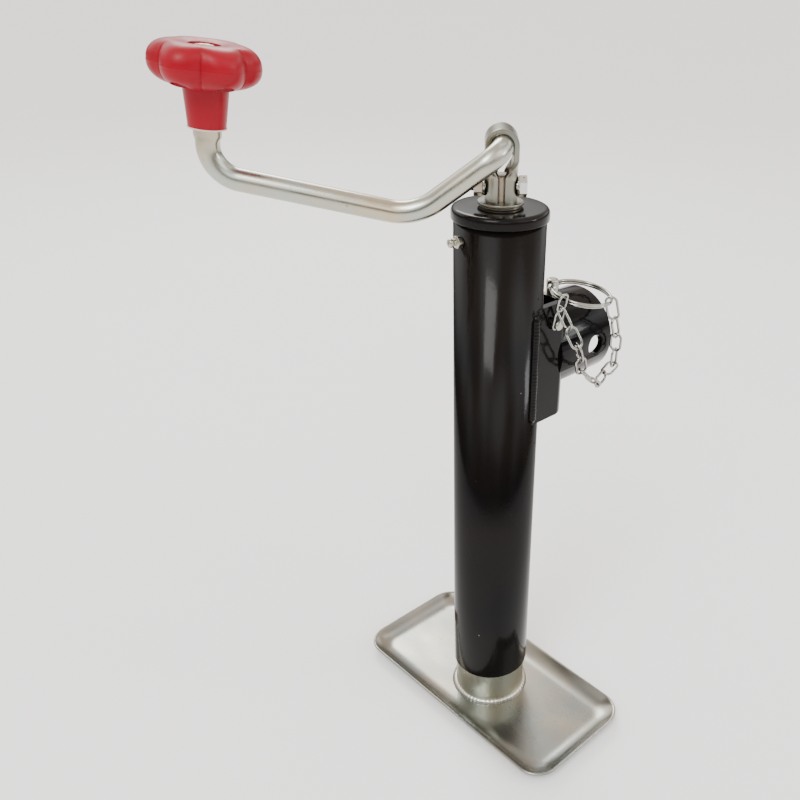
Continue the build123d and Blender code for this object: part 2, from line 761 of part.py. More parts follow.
def link_loops(start, end, first_side, second_side, start_reach, end_reach):
    """The two ovals of one link, joined at its middle, reaching past both hooking points."""
    along = (end - start).normalized()
    middle = (start + end) / 2
    first = wire_loop(start - along * start_reach, middle + along * chain_join, first_side)
    second = wire_loop(middle - along * chain_join, end + along * end_reach, second_side)
    return first, second


rivet_point = Vector(rivet_x, -flange_y - rivet_loop_depth, rivet_z)
ring_point = eye + ring_out * 2 * ring_r
route_side = max(flange_y + chain_side_gap, pipe_r)
route_start = Vector(bracket_web_x, -route_side, pipe_centre_z)
joints = [route_start + Vector(*point) for point in chain_route] + [ring_point]
along_links = [(joints[i + 1] - joints[i]).normalized() for i in range(len(joints) - 1)]

# How far each link's wire runs past the point where it hooks its neighbour: more at a bend.
hook_gap = 2 * chain_wire_r + chain_play
reaches = [hook_gap + chain_join]
for i in range(1, len(along_links)):
    reaches.append(hook_gap / (1 + along_links[i - 1].dot(along_links[i])))
reaches.append(ring_wire_r + chain_wire_r + chain_play)

# The first link stands flat beside the rivet, and the second hooks round its middle.
rivet_reach = rivet_shank_r + chain_play + chain_wire_r
first_end = rivet_point + (joints[0] - rivet_point) * 2
links = [(rivet_point, first_end, Vector(1, 0, 0), Vector(1, 0, 0), rivet_reach, 0)]
upper_side = Vector(0, 1, 0)
for i, along in enumerate(along_links):
    upper_side = (upper_side - along * upper_side.dot(along)).normalized()
    lower_side = along.cross(upper_side)
    if i == len(along_links) - 1:
        lower_side = along.cross(ring_hinge).normalized()
    elif along.cross(along_links[i + 1]).length > chain_sharp_turn:
        lower_side = along.cross(along_links[i + 1]).normalized()
    links.append((joints[i], joints[i + 1], upper_side, lower_side, reaches[i], reaches[i + 1]))
    if i < len(along_links) - 1:
        upper_side = along_links[i + 1].cross(lower_side).normalized()

chain_nodes = {
    "tether_chain": links[:-chain_end_links],
    "tether_chain_end_link": links[-chain_end_links:],
}
for chain_name, chain_links in chain_nodes.items():
    ovals = [link_loops(*link) for link in chain_links]
    with BuildPart() as tether_chain:
        for first_oval, second_oval in ovals:
            add(first_oval.part)
            add(second_oval.part)
    save(tether_chain.part, chain_name)
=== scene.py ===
"""Trailer tongue jack: the finished look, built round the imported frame.

Metres, +Z up the tube, +X along the mounting pipe, Y along the foot. Each sub-assembly is a
class that holds its sizes and builds and dresses its own pieces.
"""

import json
import logging
import math
from dataclasses import dataclass
from enum import Enum
from typing import Callable, Optional

import bmesh
import bpy
from mathutils import Matrix, Vector, noise


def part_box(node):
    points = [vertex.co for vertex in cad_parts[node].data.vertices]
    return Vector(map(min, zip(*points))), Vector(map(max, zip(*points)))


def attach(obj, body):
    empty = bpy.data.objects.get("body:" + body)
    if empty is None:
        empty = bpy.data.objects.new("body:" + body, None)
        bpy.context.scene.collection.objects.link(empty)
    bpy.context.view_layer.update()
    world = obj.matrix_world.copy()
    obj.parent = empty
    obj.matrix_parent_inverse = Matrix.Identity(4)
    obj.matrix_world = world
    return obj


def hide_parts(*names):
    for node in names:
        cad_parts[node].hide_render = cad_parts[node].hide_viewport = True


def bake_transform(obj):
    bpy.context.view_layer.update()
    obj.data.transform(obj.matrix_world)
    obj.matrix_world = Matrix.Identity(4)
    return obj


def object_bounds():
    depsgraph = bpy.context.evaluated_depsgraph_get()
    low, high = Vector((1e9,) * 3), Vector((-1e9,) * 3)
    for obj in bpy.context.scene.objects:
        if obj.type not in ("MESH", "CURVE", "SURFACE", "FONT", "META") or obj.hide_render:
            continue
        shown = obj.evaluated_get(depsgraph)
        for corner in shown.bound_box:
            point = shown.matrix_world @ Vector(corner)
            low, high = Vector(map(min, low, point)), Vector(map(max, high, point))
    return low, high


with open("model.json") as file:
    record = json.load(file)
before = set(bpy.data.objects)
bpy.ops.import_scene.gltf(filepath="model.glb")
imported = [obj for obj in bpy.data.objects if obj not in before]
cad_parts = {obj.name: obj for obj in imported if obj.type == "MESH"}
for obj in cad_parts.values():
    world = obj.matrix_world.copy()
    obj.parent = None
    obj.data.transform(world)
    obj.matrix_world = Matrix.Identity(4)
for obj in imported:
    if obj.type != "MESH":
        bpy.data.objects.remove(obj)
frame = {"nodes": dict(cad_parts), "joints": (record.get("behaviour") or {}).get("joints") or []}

CAD_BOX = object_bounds()
LOG = logging.getLogger("tongue_jack")
MM = 0.001
UP = Vector((0, 0, 1))

Socket = bpy.types.NodeSocket
Material = bpy.types.Material
Piece = bpy.types.Object
Profile = list[tuple[float, float]]
Shift = Callable[[float, int], tuple[float, float]]


class Body(Enum):
    """The moving bodies of the jack."""

    TUBE = "jack_tube"
    CRANK = "crank"
    HANDLE = "handle"
    KNOB = "knob"
    LEG = "leg"
    PIN = "pin"
    RING = "ring"


class Slot(Enum):
    """The material slots of the record."""

    PAINT = "black_paint"
    ZINC = "zinc_plate"
    STEEL = "plain_steel"
    BRASS = "brass_nut"
    PLASTIC = "red_plastic"


# ---------------------------------------------------------------- finishes


class NodeBench:
    """A material's node tree, with short ways to add and join nodes."""

    def __init__(self, name: str) -> None:
        """Start an empty material.

        Args:
            name: the material's name.
        """
        self.material = bpy.data.materials.new(name)
        self.material.use_nodes = True
        self.tree = self.material.node_tree
        self.shader = self.tree.nodes["Principled BSDF"]
        self.place = self.add("ShaderNodeTexCoord").outputs["Object"]

    def add(self, kind: str, **values: object) -> bpy.types.Node:
        """Add a node and set its properties.

        Args:
            kind: the node's type name.
            **values: properties to set on it.

        Returns:
            The new node.
        """
        node = self.tree.nodes.new(kind)
        for key, value in values.items():
            setattr(node, key, value)
        return node

    def join(self, start: Socket, end: Socket) -> None:
        """Link two sockets."""
        self.tree.links.new(start, end)

    def grain(self, scale: float, detail: float = 3.0, stretch: Vector = Vector((1, 1, 1))) -> Socket:
        """Noise over the piece.

        Args:
            scale: noise cells to the metre.
            detail: octaves of finer noise.
            stretch: how much each axis is squeezed before the noise is read.

        Returns:
            The noise value's socket.
        """
        mapping = self.add("ShaderNodeMapping")
        mapping.inputs["Scale"].default_value = stretch
        self.join(self.place, mapping.inputs["Vector"])
        cloud = self.add("ShaderNodeTexNoise")
        cloud.inputs["Scale"].default_value = scale
        cloud.inputs["Detail"].default_value = detail
        self.join(mapping.outputs["Vector"], cloud.inputs["Vector"])
        return cloud.outputs["Fac"]

    def ramp(self, value: Socket, low: float, high: float, start: tuple, end: tuple) -> Socket:
        """Turn a value into a colour between two others.

        Args:
            value: the socket to read.
            low: the value that gives the first colour.
            high: the value that gives the second colour.
            start: the first colour, as red, green and blue.
            end: the second colour.

        Returns:
            The colour's socket.
        """
        node = self.add("ShaderNodeValToRGB")
        stops = node.color_ramp.elements
        stops[0].position = low
        stops[1].position = high
        stops[0].color = (*start, 1)
        stops[1].color = (*end, 1)
        self.join(value, node.inputs["Fac"])
        return node.outputs["Color"]

    def between(self, value: Socket, low: float, high: float) -> Socket:
        """Turn noise into a number that runs from low to high."""
        node = self.add("ShaderNodeMapRange")
        node.inputs["From Min"].default_value = 0.3
        node.inputs["From Max"].default_value = 0.7
        node.inputs["To Min"].default_value = low
        node.inputs["To Max"].default_value = high
        self.join(value, node.inputs["Value"])
        return node.outputs["Result"]

    def mix(self, share: Socket, first: Socket, second: tuple) -> Socket:
        """Lay a plain colour over another where share is high."""
        node = self.add("ShaderNodeMix", data_type="RGBA")
        self.join(share, node.inputs["Factor"])
        self.join(first, node.inputs[6])
        node.inputs[7].default_value = (*second, 1)
        return node.outputs[2]

    def bump(self, height: Socket, depth: float, strength: float) -> None:
        """Raise the surface by a height socket.

        Args:
            height: the socket with the height.
            depth: height of the relief, in metres.
            strength: how much of it shows.
        """
        node = self.add("ShaderNodeBump")
        node.inputs["Strength"].default_value = strength
        node.inputs["Distance"].default_value = depth
        self.join(height, node.inputs["Height"])
        self.join(node.outputs["Normal"], self.shader.inputs["Normal"])

    def set(self, **values: float) -> None:
        """Set constants on the shader's own sockets, named with underscores for spaces."""
        for key, value in values.items():
            self.shader.inputs[key.replace("_", " ")].default_value = value


@dataclass(frozen=True)
class GlossPaint:
    """Black gloss paint with orange peel and a few pale specks of dust and spatter."""

    name: str = "black_gloss_paint"
    colour: tuple = (0.0025, 0.0023, 0.0026)
    worn: tuple = (0.0062, 0.0048, 0.0042)
    speck: tuple = (0.22, 0.2, 0.19)
    peel_scale: float = 420.0
    speck_scale: float = 260.0

    def material(self) -> Material:
        """Build the paint.

        Returns:
            The material.
        """
        bench = NodeBench(self.name)
        body = bench.ramp(bench.grain(14), 0.35, 0.7, self.colour, self.worn)
        specks = bench.ramp(bench.grain(self.speck_scale, 1.0), 0.815, 0.84, (0, 0, 0), (1, 1, 1))
        bench.join(bench.mix(specks, body, self.speck), bench.shader.inputs["Base Color"])
        bench.join(bench.between(bench.grain(30), 0.1, 0.17), bench.shader.inputs["Roughness"])
        bench.bump(bench.grain(self.peel_scale, 1.0), 0.0002, 0.12)
        bench.set(Specular_IOR_Level=0.12)
        return bench.material


@dataclass(frozen=True)
class ZincPlate:
    """Bright zinc plate with a faint warm and cool passivate tint and small dark pits."""

    name: str = "zinc_plate"
    cool: tuple = (0.38, 0.41, 0.37)
    warm: tuple = (0.46, 0.385, 0.27)
    pit: tuple = (0.09, 0.075, 0.06)
    smooth: float = 0.18
    rough: float = 0.34
    stretch: tuple = (1.0, 1.0, 1.0)
    streak_scale: float = 60.0
    relief: float = 0.1

    def material(self) -> Material:
        """Build the plate.

        Returns:
            The material.
        """
        bench = NodeBench(self.name)
        tint = bench.ramp(bench.grain(26, 4.0), 0.36, 0.66, self.cool, self.warm)
        pits = bench.ramp(bench.grain(520, 1.0), 0.76, 0.8, (0, 0, 0), (1, 1, 1))
        bench.join(bench.mix(pits, tint, self.pit), bench.shader.inputs["Base Color"])
        streak = bench.grain(self.streak_scale, 5.0, Vector(self.stretch))
        bench.join(bench.between(streak, self.smooth, self.rough), bench.shader.inputs["Roughness"])
        bench.bump(bench.grain(300, 3.0, Vector(self.stretch)), 0.00015, self.relief)
        bench.set(Metallic=1.0)
        return bench.material


@dataclass(frozen=True)
class MouldedPlastic:
    """Satin moulded plastic with a fine grain and faint handling marks, red unless told otherwise."""

    name: str = "red_moulded_plastic"
    colour: tuple = (0.24, 0.0008, 0.009)
    rubbed: tuple = (0.28, 0.0015, 0.013)

    def material(self) -> Material:
        """Build the plastic.

        Returns:
            The material.
        """
        bench = NodeBench(self.name)
        shade = bench.ramp(bench.grain(45, 5.0), 0.4, 0.72, self.colour, self.rubbed)
        bench.join(shade, bench.shader.inputs["Base Color"])
        bench.join(bench.between(bench.grain(90, 4.0), 0.3, 0.42), bench.shader.inputs["Roughness"])
        bench.bump(bench.grain(900, 2.0), 0.0001, 0.15)
        bench.set(Specular_IOR_Level=0.18)
        return bench.material


@dataclass(frozen=True)
class Machined:
    """Turned metal with fine rings and a film of grease."""

    name: str = "turned_steel"
    colour: tuple = (0.42, 0.42, 0.41)
    greased: tuple = (0.30, 0.27, 0.22)

    def material(self) -> Material:
        """Build the metal.

        Returns:
            The material.
        """
        bench = NodeBench(self.name)
        shade = bench.ramp(bench.grain(70, 4.0), 0.4, 0.7, self.colour, self.greased)
        bench.join(shade, bench.shader.inputs["Base Color"])
        bench.join(bench.between(bench.grain(120), 0.25, 0.42), bench.shader.inputs["Roughness"])
        bench.bump(bench.grain(40, 2.0, Vector((1, 1, 60))), 0.00005, 0.2)
        bench.set(Metallic=1.0)
        return bench.material


@dataclass(frozen=True)
class PaleFloor:
    """Matt pale floor."""

    name: str = "pale_floor"
    colour: tuple = (0.93, 0.94, 0.955)

    def material(self) -> Material:
        """Build the floor's finish.

        Returns:
            The material.
        """
        bench = NodeBench(self.name)
        lighter = tuple(min(1.0, c + 0.01) for c in self.colour)
        shade = bench.ramp(bench.grain(3), 0.3, 0.7, self.colour, lighter)
        bench.join(shade, bench.shader.inputs["Base Color"])
        bench.set(Roughness=0.85, Specular_IOR_Level=0.15)
        return bench.material


class Finishes:
    """All the finishes, each made once."""

    def __init__(self) -> None:
        """Make every finish."""
        self.paint = GlossPaint().material()
        self.zinc = ZincPlate().material()
        self.pan = ZincPlate(
            name="satin_pressed_zinc", cool=(0.25, 0.265, 0.25), warm=(0.315, 0.295, 0.25),
            smooth=0.2, rough=0.34, stretch=(2.0, 1.0, 1.0), streak_scale=16.0, relief=0.03,
        ).material()
        self.strap = ZincPlate(
            name="satin_bent_zinc", cool=(0.22, 0.23, 0.2), warm=(0.30, 0.265, 0.2),
            smooth=0.24, rough=0.38, relief=0.15,
        ).material()
        self.chain = ZincPlate(
            name="nickel_chain", cool=(0.34, 0.35, 0.33), warm=(0.30, 0.28, 0.24), smooth=0.08, rough=0.2,
        ).material()
        self.bolt = ZincPlate(
            name="bright_bolt_plate", cool=(0.62, 0.64, 0.66), warm=(0.56, 0.56, 0.54),
            smooth=0.12, rough=0.24,
        ).material()
        self.flash = MouldedPlastic("pale_flash", (0.62, 0.50, 0.44), (0.70, 0.56, 0.50)).material()
        self.leg = ZincPlate(
            name="drawn_zinc_tube", cool=(0.34, 0.36, 0.31), warm=(0.43, 0.40, 0.31),
            smooth=0.26, rough=0.4, stretch=(6.0, 6.0, 1.0), relief=0.15,
        ).material()
        self.weld = ZincPlate(
            name="plated_weld", cool=(0.48, 0.49, 0.45), warm=(0.58, 0.54, 0.46),
            smooth=0.18, rough=0.45, relief=0.5,
        ).material()
        self.plastic = MouldedPlastic().material()
        self.steel = Machined("turned_steel", (0.40, 0.36, 0.30), (0.34, 0.25, 0.16)).material()
        self.brass = Machined("turned_brass", (0.58, 0.42, 0.17), (0.42, 0.29, 0.11)).material()


# ---------------------------------------------------------------- mesh work


def frame_matrix(origin: Vector, axis: Vector, side: Vector) -> Matrix:
    """A local frame with +Z along axis and +X near side.

    Args:
        origin: where the frame stands.
        axis: the direction of its +Z.
        side: a direction near its +X.

    Returns:
        The frame's matrix.
    """
    z = axis.normalized()
    x = (side - z * side.dot(z)).normalized()
    y = z.cross(x)
    turn = Matrix((x, y, z)).transposed().to_4x4()
    return Matrix.Translation(origin) @ turn


def rounded(corners: list[tuple[float, float, float]], steps: int = 6) -> Profile:
    """Round the corners of a closed outline.

    Args:
        corners: each corner's two coordinates and its radius.
        steps: pieces in each round.

    Returns:
        The rounded outline.
    """
    line: Profile = []
    count = len(corners)
    for i, (x, y, radius) in enumerate(corners):
        here = Vector((x, y))
        before = Vector(corners[i - 1][:2]) - here
        after = Vector(corners[(i + 1) % count][:2]) - here
        turn = before.angle(after) if radius > 0 else math.pi
        if radius <= 0 or turn > math.pi - 1e-3:
            line.append((x, y))
            continue
        reach = min(radius / math.tan(turn / 2), before.length * 0.49, after.length * 0.49)
        start = here + before.normalized() * reach
        end = here + after.normalized() * reach
        for k in range(steps + 1):
            t = k / steps
            point = start * (1 - t) ** 2 + here * 2 * t * (1 - t) + end * t * t
            line.append((point.x, point.y))
    return line


def skin(name: str, rings: list[list[Vector]], wrap: bool, ends: bool) -> Piece:
    """Join rings of points into a mesh.

    Args:
        name: the piece's name.
        rings: rings of points, all with the same count.
        wrap: whether the last ring joins the first.
        ends: whether the first and last rings are closed with a face.

    Returns:
        The new object.
    """
    count = len(rings[0])
    points = [p for ring in rings for p in ring]
    faces = []
    last = len(rings) if wrap else len(rings) - 1
    for i in range(last):
        a, b = i * count, ((i + 1) % len(rings)) * count
        for k in range(count):
            n = (k + 1) % count
            faces.append((a + k, a + n, b + n, b + k))
    if ends:
        faces.append(tuple(reversed(range(count))))
        faces.append(tuple(range(len(points) - count, len(points))))
    mesh = bpy.data.meshes.new(name)
    mesh.from_pydata(points, [], faces)
    bench = bmesh.new()
    bench.from_mesh(mesh)
    bmesh.ops.recalc_face_normals(bench, faces=bench.faces)
    bench.to_mesh(mesh)
    bench.free()
    mesh.shade_smooth()
    piece = bpy.data.objects.new(name, mesh)
    bpy.context.scene.collection.objects.link(piece)
    return piece


def lathe(name: str, outline: Profile, place: Matrix, segments: int = 96,
          shift: Optional[Shift] = None) -> Piece:
    """Turn a closed outline about a local +Z.

    Args:
        name: the piece's name.
        outline: radius and height of each point, none on the axis.
        place: the local frame.
        segments: steps round the turn.
        shift: gives a change of radius and height at an angle and an outline point.

    Returns:
        The turned piece.
    """
    rings = []
    for s in range(segments):
        angle = 2 * math.pi * s / segments
        ring = []
        for i, (radius, height) in enumerate(outline):
            more_r, more_z = shift(angle, i) if shift else (0.0, 0.0)
            r = radius + more_r
            ring.append(place @ Vector((r * math.cos(angle), r * math.sin(angle), height + more_z)))
        rings.append(ring)
    return skin(name, rings, wrap=True, ends=False)


def sweep(name: str, path: list[Vector], section: Callable[[float, float], tuple[float, float]],
          side: Vector, closed: bool = False, around: int = 32) -> Piece:
    """Carry a round section along a path.

    Args:
        name: the piece's name.
        path: points of the centre line.
        section: gives the section's point at an angle and a share of the path.
        side: a direction near the section's first axis at the start.
        closed: whether the path joins its own start.
        around: points in the section.

    Returns:
        The swept piece.
    """
    count = len(path)
    rings = []
    x = side
    for i, here in enumerate(path):
        before = path[i - 1] if i or closed else here
        after = path[(i + 1) % count] if i < count - 1 or closed else here
        along = (after - before).normalized()
        x = (x - along * x.dot(along)).normalized()
        y = along.cross(x)
        ring = []
        for k in range(around):
            u, v = section(2 * math.pi * k / around, i / max(count - 1, 1))
            ring.append(here + x * u + y * v)
        rings.append(ring)
    return skin(name, rings, wrap=closed, ends=not closed)


def bent_path(corners: list[Vector], radii: list[float], step: float) -> list[Vector]:
    """A path of straight runs joined by true arcs.

    Args:
        corners: the path's corners, with its two ends.
        radii: one bend radius for each inner corner.
        step: distance between points.

    Returns:
        Evenly spaced points.
    """
    path = [corners[0]]
    for i, radius in enumerate(radii, start=1):
        here = corners[i]
        before = (corners[i - 1] - here).normalized()
        after = (corners[i + 1] - here).normalized()
        half = before.angle(after) / 2
        reach = radius / math.tan(half)
        centre = here + (before + after).normalized() * (radius / math.sin(half))
        start, end = here + before * reach, here + after * reach
        run(path, start, step)
        from_centre, to_centre = start - centre, end - centre
        turn = from_centre.angle(to_centre)
        axis = from_centre.cross(to_centre).normalized()
        pieces = max(2, int(radius * turn / step) + 1)
        for k in range(1, pieces + 1):
            path.append(centre + Matrix.Rotation(turn * k / pieces, 3, axis) @ from_centre)
    run(path, corners[-1], step)
    return path


def run(path: list[Vector], end: Vector, step: float) -> None:
    """Add points in a straight line from the path's last point to end."""
    start = path[-1]
    pieces = max(1, int((end - start).length / step))
    path.extend(start.lerp(end, k / pieces) for k in range(1, pieces + 1))


def one_piece(name: str, parts: list[Piece]) -> Piece:
    """Join several meshes into one object.

    Args:
        name: the joined piece's name.
        parts: the meshes to join.

    Returns:
        The joined piece.
    """
    bench = bmesh.new()
    for part in parts:
        bench.from_mesh(part.data)
        bpy.data.objects.remove(part)
    mesh = bpy.data.meshes.new(name)
    bench.to_mesh(mesh)
    bench.free()
    mesh.shade_smooth()
    piece = bpy.data.objects.new(name, mesh)
    bpy.context.scene.collection.objects.link(piece)
    return piece


def sharpen(piece: Piece, angle: float = 35.0) -> None:
    """Keep a piece's edges crisp above an angle, in degrees."""
    mesh = piece.data
    bench = bmesh.new()
    bench.from_mesh(mesh)
    for edge in bench.edges:
        if len(edge.link_faces) == 2:
            edge.smooth = edge.calc_face_angle(0.0) < math.radians(angle)
    bench.to_mesh(mesh)
    bench.free()


def fit(piece: Piece, body: Body, slot: Slot, finish: Material, *nodes: str) -> None:
    """Finish a new piece: its material, its body and the nodes it stands for.

    Args:
        piece: the new piece.
        body: the body it rides on.
        slot: the record's slot it belongs to; not used.
        finish: its material.
        *nodes: the frame's nodes that it replaces.
    """
    piece.data.materials.clear()
    piece.data.materials.append(finish)
    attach(piece, body.value)
    if nodes:
        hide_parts(*nodes)
    LOG.info("%s: %d faces", piece.name, len(piece.data.polygons))


def dress(node: str, finish: Material, bevel: float = 0.0) -> None:
    """Give a frame node its finish and, if asked, softened edges.

    Args:
        node: the node's name.
        finish: its material.
        bevel: width of the softened edges, in metres.
    """
    piece = frame["nodes"][node]
    piece.data.materials.clear()
    piece.data.materials.append(finish)
    if bevel > 0:
        weld = piece.modifiers.new("close_seams", "WELD")
        weld.merge_threshold = 1e-6
        edge = piece.modifiers.new("soft_edges", "BEVEL")
        edge.width = bevel
        edge.segments = 3
        edge.limit_method = "ANGLE"
        edge.angle_limit = math.radians(32)
        edge.harden_normals = True
    LOG.info("%s: dressed", node)


def joint_named(name: str) -> dict:
    """One joint of the frame."""
    return next(j for j in frame["joints"] if j["name"] == name)


@dataclass
class Span:
    """A frame node's box."""

    node: str

    def __post_init__(self) -> None:
        """Read the box."""
        self.low, self.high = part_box(self.node)

    @property
    def radius(self) -> float:
        """Half the width along Y."""
        return (self.high.y - self.low.y) / 2


# ---------------------------------------------------------------- sub-assemblies


@dataclass
class FootAndLeg:
    """The pressed foot, the inner leg and the weld between them."""

    finishes: Finishes
    floor_thickness: float = 3.4 * MM
    rim_run: float = 9.6 * MM
    inside_run: float = 17.0 * MM
    sheet_edge: float = 2.2 * MM
    corner: float = 19.0 * MM
    leg_wall: float = 2.5 * MM
    corner_steps: int = 14
    side_steps: int = 10
    rim_steps: int = 14
    floor_reach: float = 2.2
    outside_curve: float = 1.2
    inside_curve: float = 2.3
    leg_ease: float = 0.4 * MM
    bead_share: float = 0.86
    bead_sink: float = 0.2 * MM
    bead_points: int = 10
    bead_wander: float = 0.34
    bead_ripple: float = 0.09
    ripples: int = 58

    def build(self) -> None:
        """Build the foot, leg and weld, and dress the nut."""
        self.pan()
        self.leg()
        self.weld()
        dress("lead_nut", self.finishes.brass)

    def outline(self, inset: float, height: float) -> list[Vector]:
        """The foot's rounded rectangle, drawn in by an inset, at a height.

        Args:
            inset: distance in from the widest outline.
            height: the ring's height.

        Returns:
            The ring's points.
        """
        low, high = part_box("foot_pan")
        half_x = (high.x - low.x) / 2 - inset
        half_y = (high.y - low.y) / 2 - inset
        radius = max(self.corner - inset * 0.75, 2 * MM)
        ring = []
        for quarter, (sx, sy) in enumerate(((1, 1), (-1, 1), (-1, -1), (1, -1))):
            centre = Vector((sx * (half_x - radius), sy * (half_y - radius), height))
            for k in range(self.corner_steps + 1):
                a = math.pi / 2 * (quarter + k / self.corner_steps)
                ring.append(centre + Vector((math.cos(a), math.sin(a), 0)) * radius)
            nx, ny = ((-1, 1), (-1, -1), (1, -1), (1, 1))[quarter]
            next_centre = Vector((nx * (half_x - radius), ny * (half_y - radius), height))
            a = math.pi / 2 * (quarter + 1)
            end = next_centre + Vector((math.cos(a), math.sin(a), 0)) * radius
            start = ring[-1].copy()
            ring.extend(start.lerp(end, k / self.side_steps) for k in range(1, self.side_steps))
        return ring

    def pan(self) -> None:
        """Press the foot: a flat floor that curls up smoothly into a rolled edge."""
        low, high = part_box("foot_pan")
        height = high.z - low.z
        steps = self.rim_steps
        edge = self.sheet_edge / 2
        floor_inset = self.rim_run * self.floor_reach
        rings = [self.outline(floor_inset, 0.0)]
        for k in range(steps + 1):
            t = k / steps
            rise = t * t * (1 + self.outside_curve - self.outside_curve * t)
            rings.append(self.outline(self.rim_run * (1 - t) + edge * t, rise * (height - 2 * edge)))
        for k in range(1, 8):
            a = math.pi * k / 8
            middle = height - edge
            rings.append(self.outline(edge - edge * math.sin(a), middle - edge * math.cos(a)))
        for k in range(steps + 1):
            t = k / steps
            back = 1 - t
            rise = back**self.inside_curve
            top = self.floor_thickness + rise * (height - self.floor_thickness)
            rings.append(self.outline(edge + (self.inside_run - edge) * t, top))
        rings.append(self.outline(floor_inset, self.floor_thickness))
        pan = skin("foot_pressing", rings, wrap=False, ends=True)
        sharpen(pan, 60)
        fit(pan, Body.LEG, Slot.ZINC, self.finishes.pan, "foot_pan")

    def leg(self) -> None:
        """Turn the inner leg with its ends eased."""
        leg = Span("drop_leg")
        r, bore = leg.radius, leg.radius - self.leg_wall
        ease = self.leg_ease
        outline = rounded([
            (bore, leg.low.z, ease), (r, leg.low.z, ease), (r, leg.high.z, ease), (bore, leg.high.z, ease),
        ])
        fit(lathe("inner_leg", outline, Matrix(), 128), Body.LEG, Slot.ZINC, self.finishes.leg, "drop_leg")

    def weld(self) -> None:
        """Run an uneven, rippled bead round the leg."""
        bead = Span("leg_weld_ring")
        leg = Span("drop_leg")
        size = bead.high.z - bead.low.z
        points, share = self.bead_points, self.bead_share
        outline = [(leg.radius - self.bead_sink, bead.low.z), (leg.radius + size * share, bead.low.z)]
        for k in range(1, points):
            a = math.pi / 2 * k / points
            swell = 0.62 + 0.12 * math.sin(2 * a)
            height = bead.low.z + size * share * math.sin(a)
            outline.append((leg.radius + size * swell * math.cos(a), height))
        outline.append((leg.radius - self.bead_sink, bead.low.z + size * share))
        last = len(outline) - 1

        def ripple(angle: float, i: int) -> tuple[float, float]:
            """How far the bead's skin strays at an angle and an outline point."""
            if i in (0, last):
                return 0.0, 0.0
            wander = noise.noise(Vector((math.cos(angle) * 2.2, math.sin(angle) * 2.2, 3.1)))
            scale = math.sin(angle * self.ripples + 2.5 * wander)
            out = (self.bead_wander * wander + self.bead_ripple * scale) * MM
            return out, (out * 0.6 if i > 1 else 0.0)

        ring = lathe("leg_weld", outline, Matrix(), 360, ripple)
        fit(ring, Body.LEG, Slot.ZINC, self.finishes.weld, "leg_weld_ring")


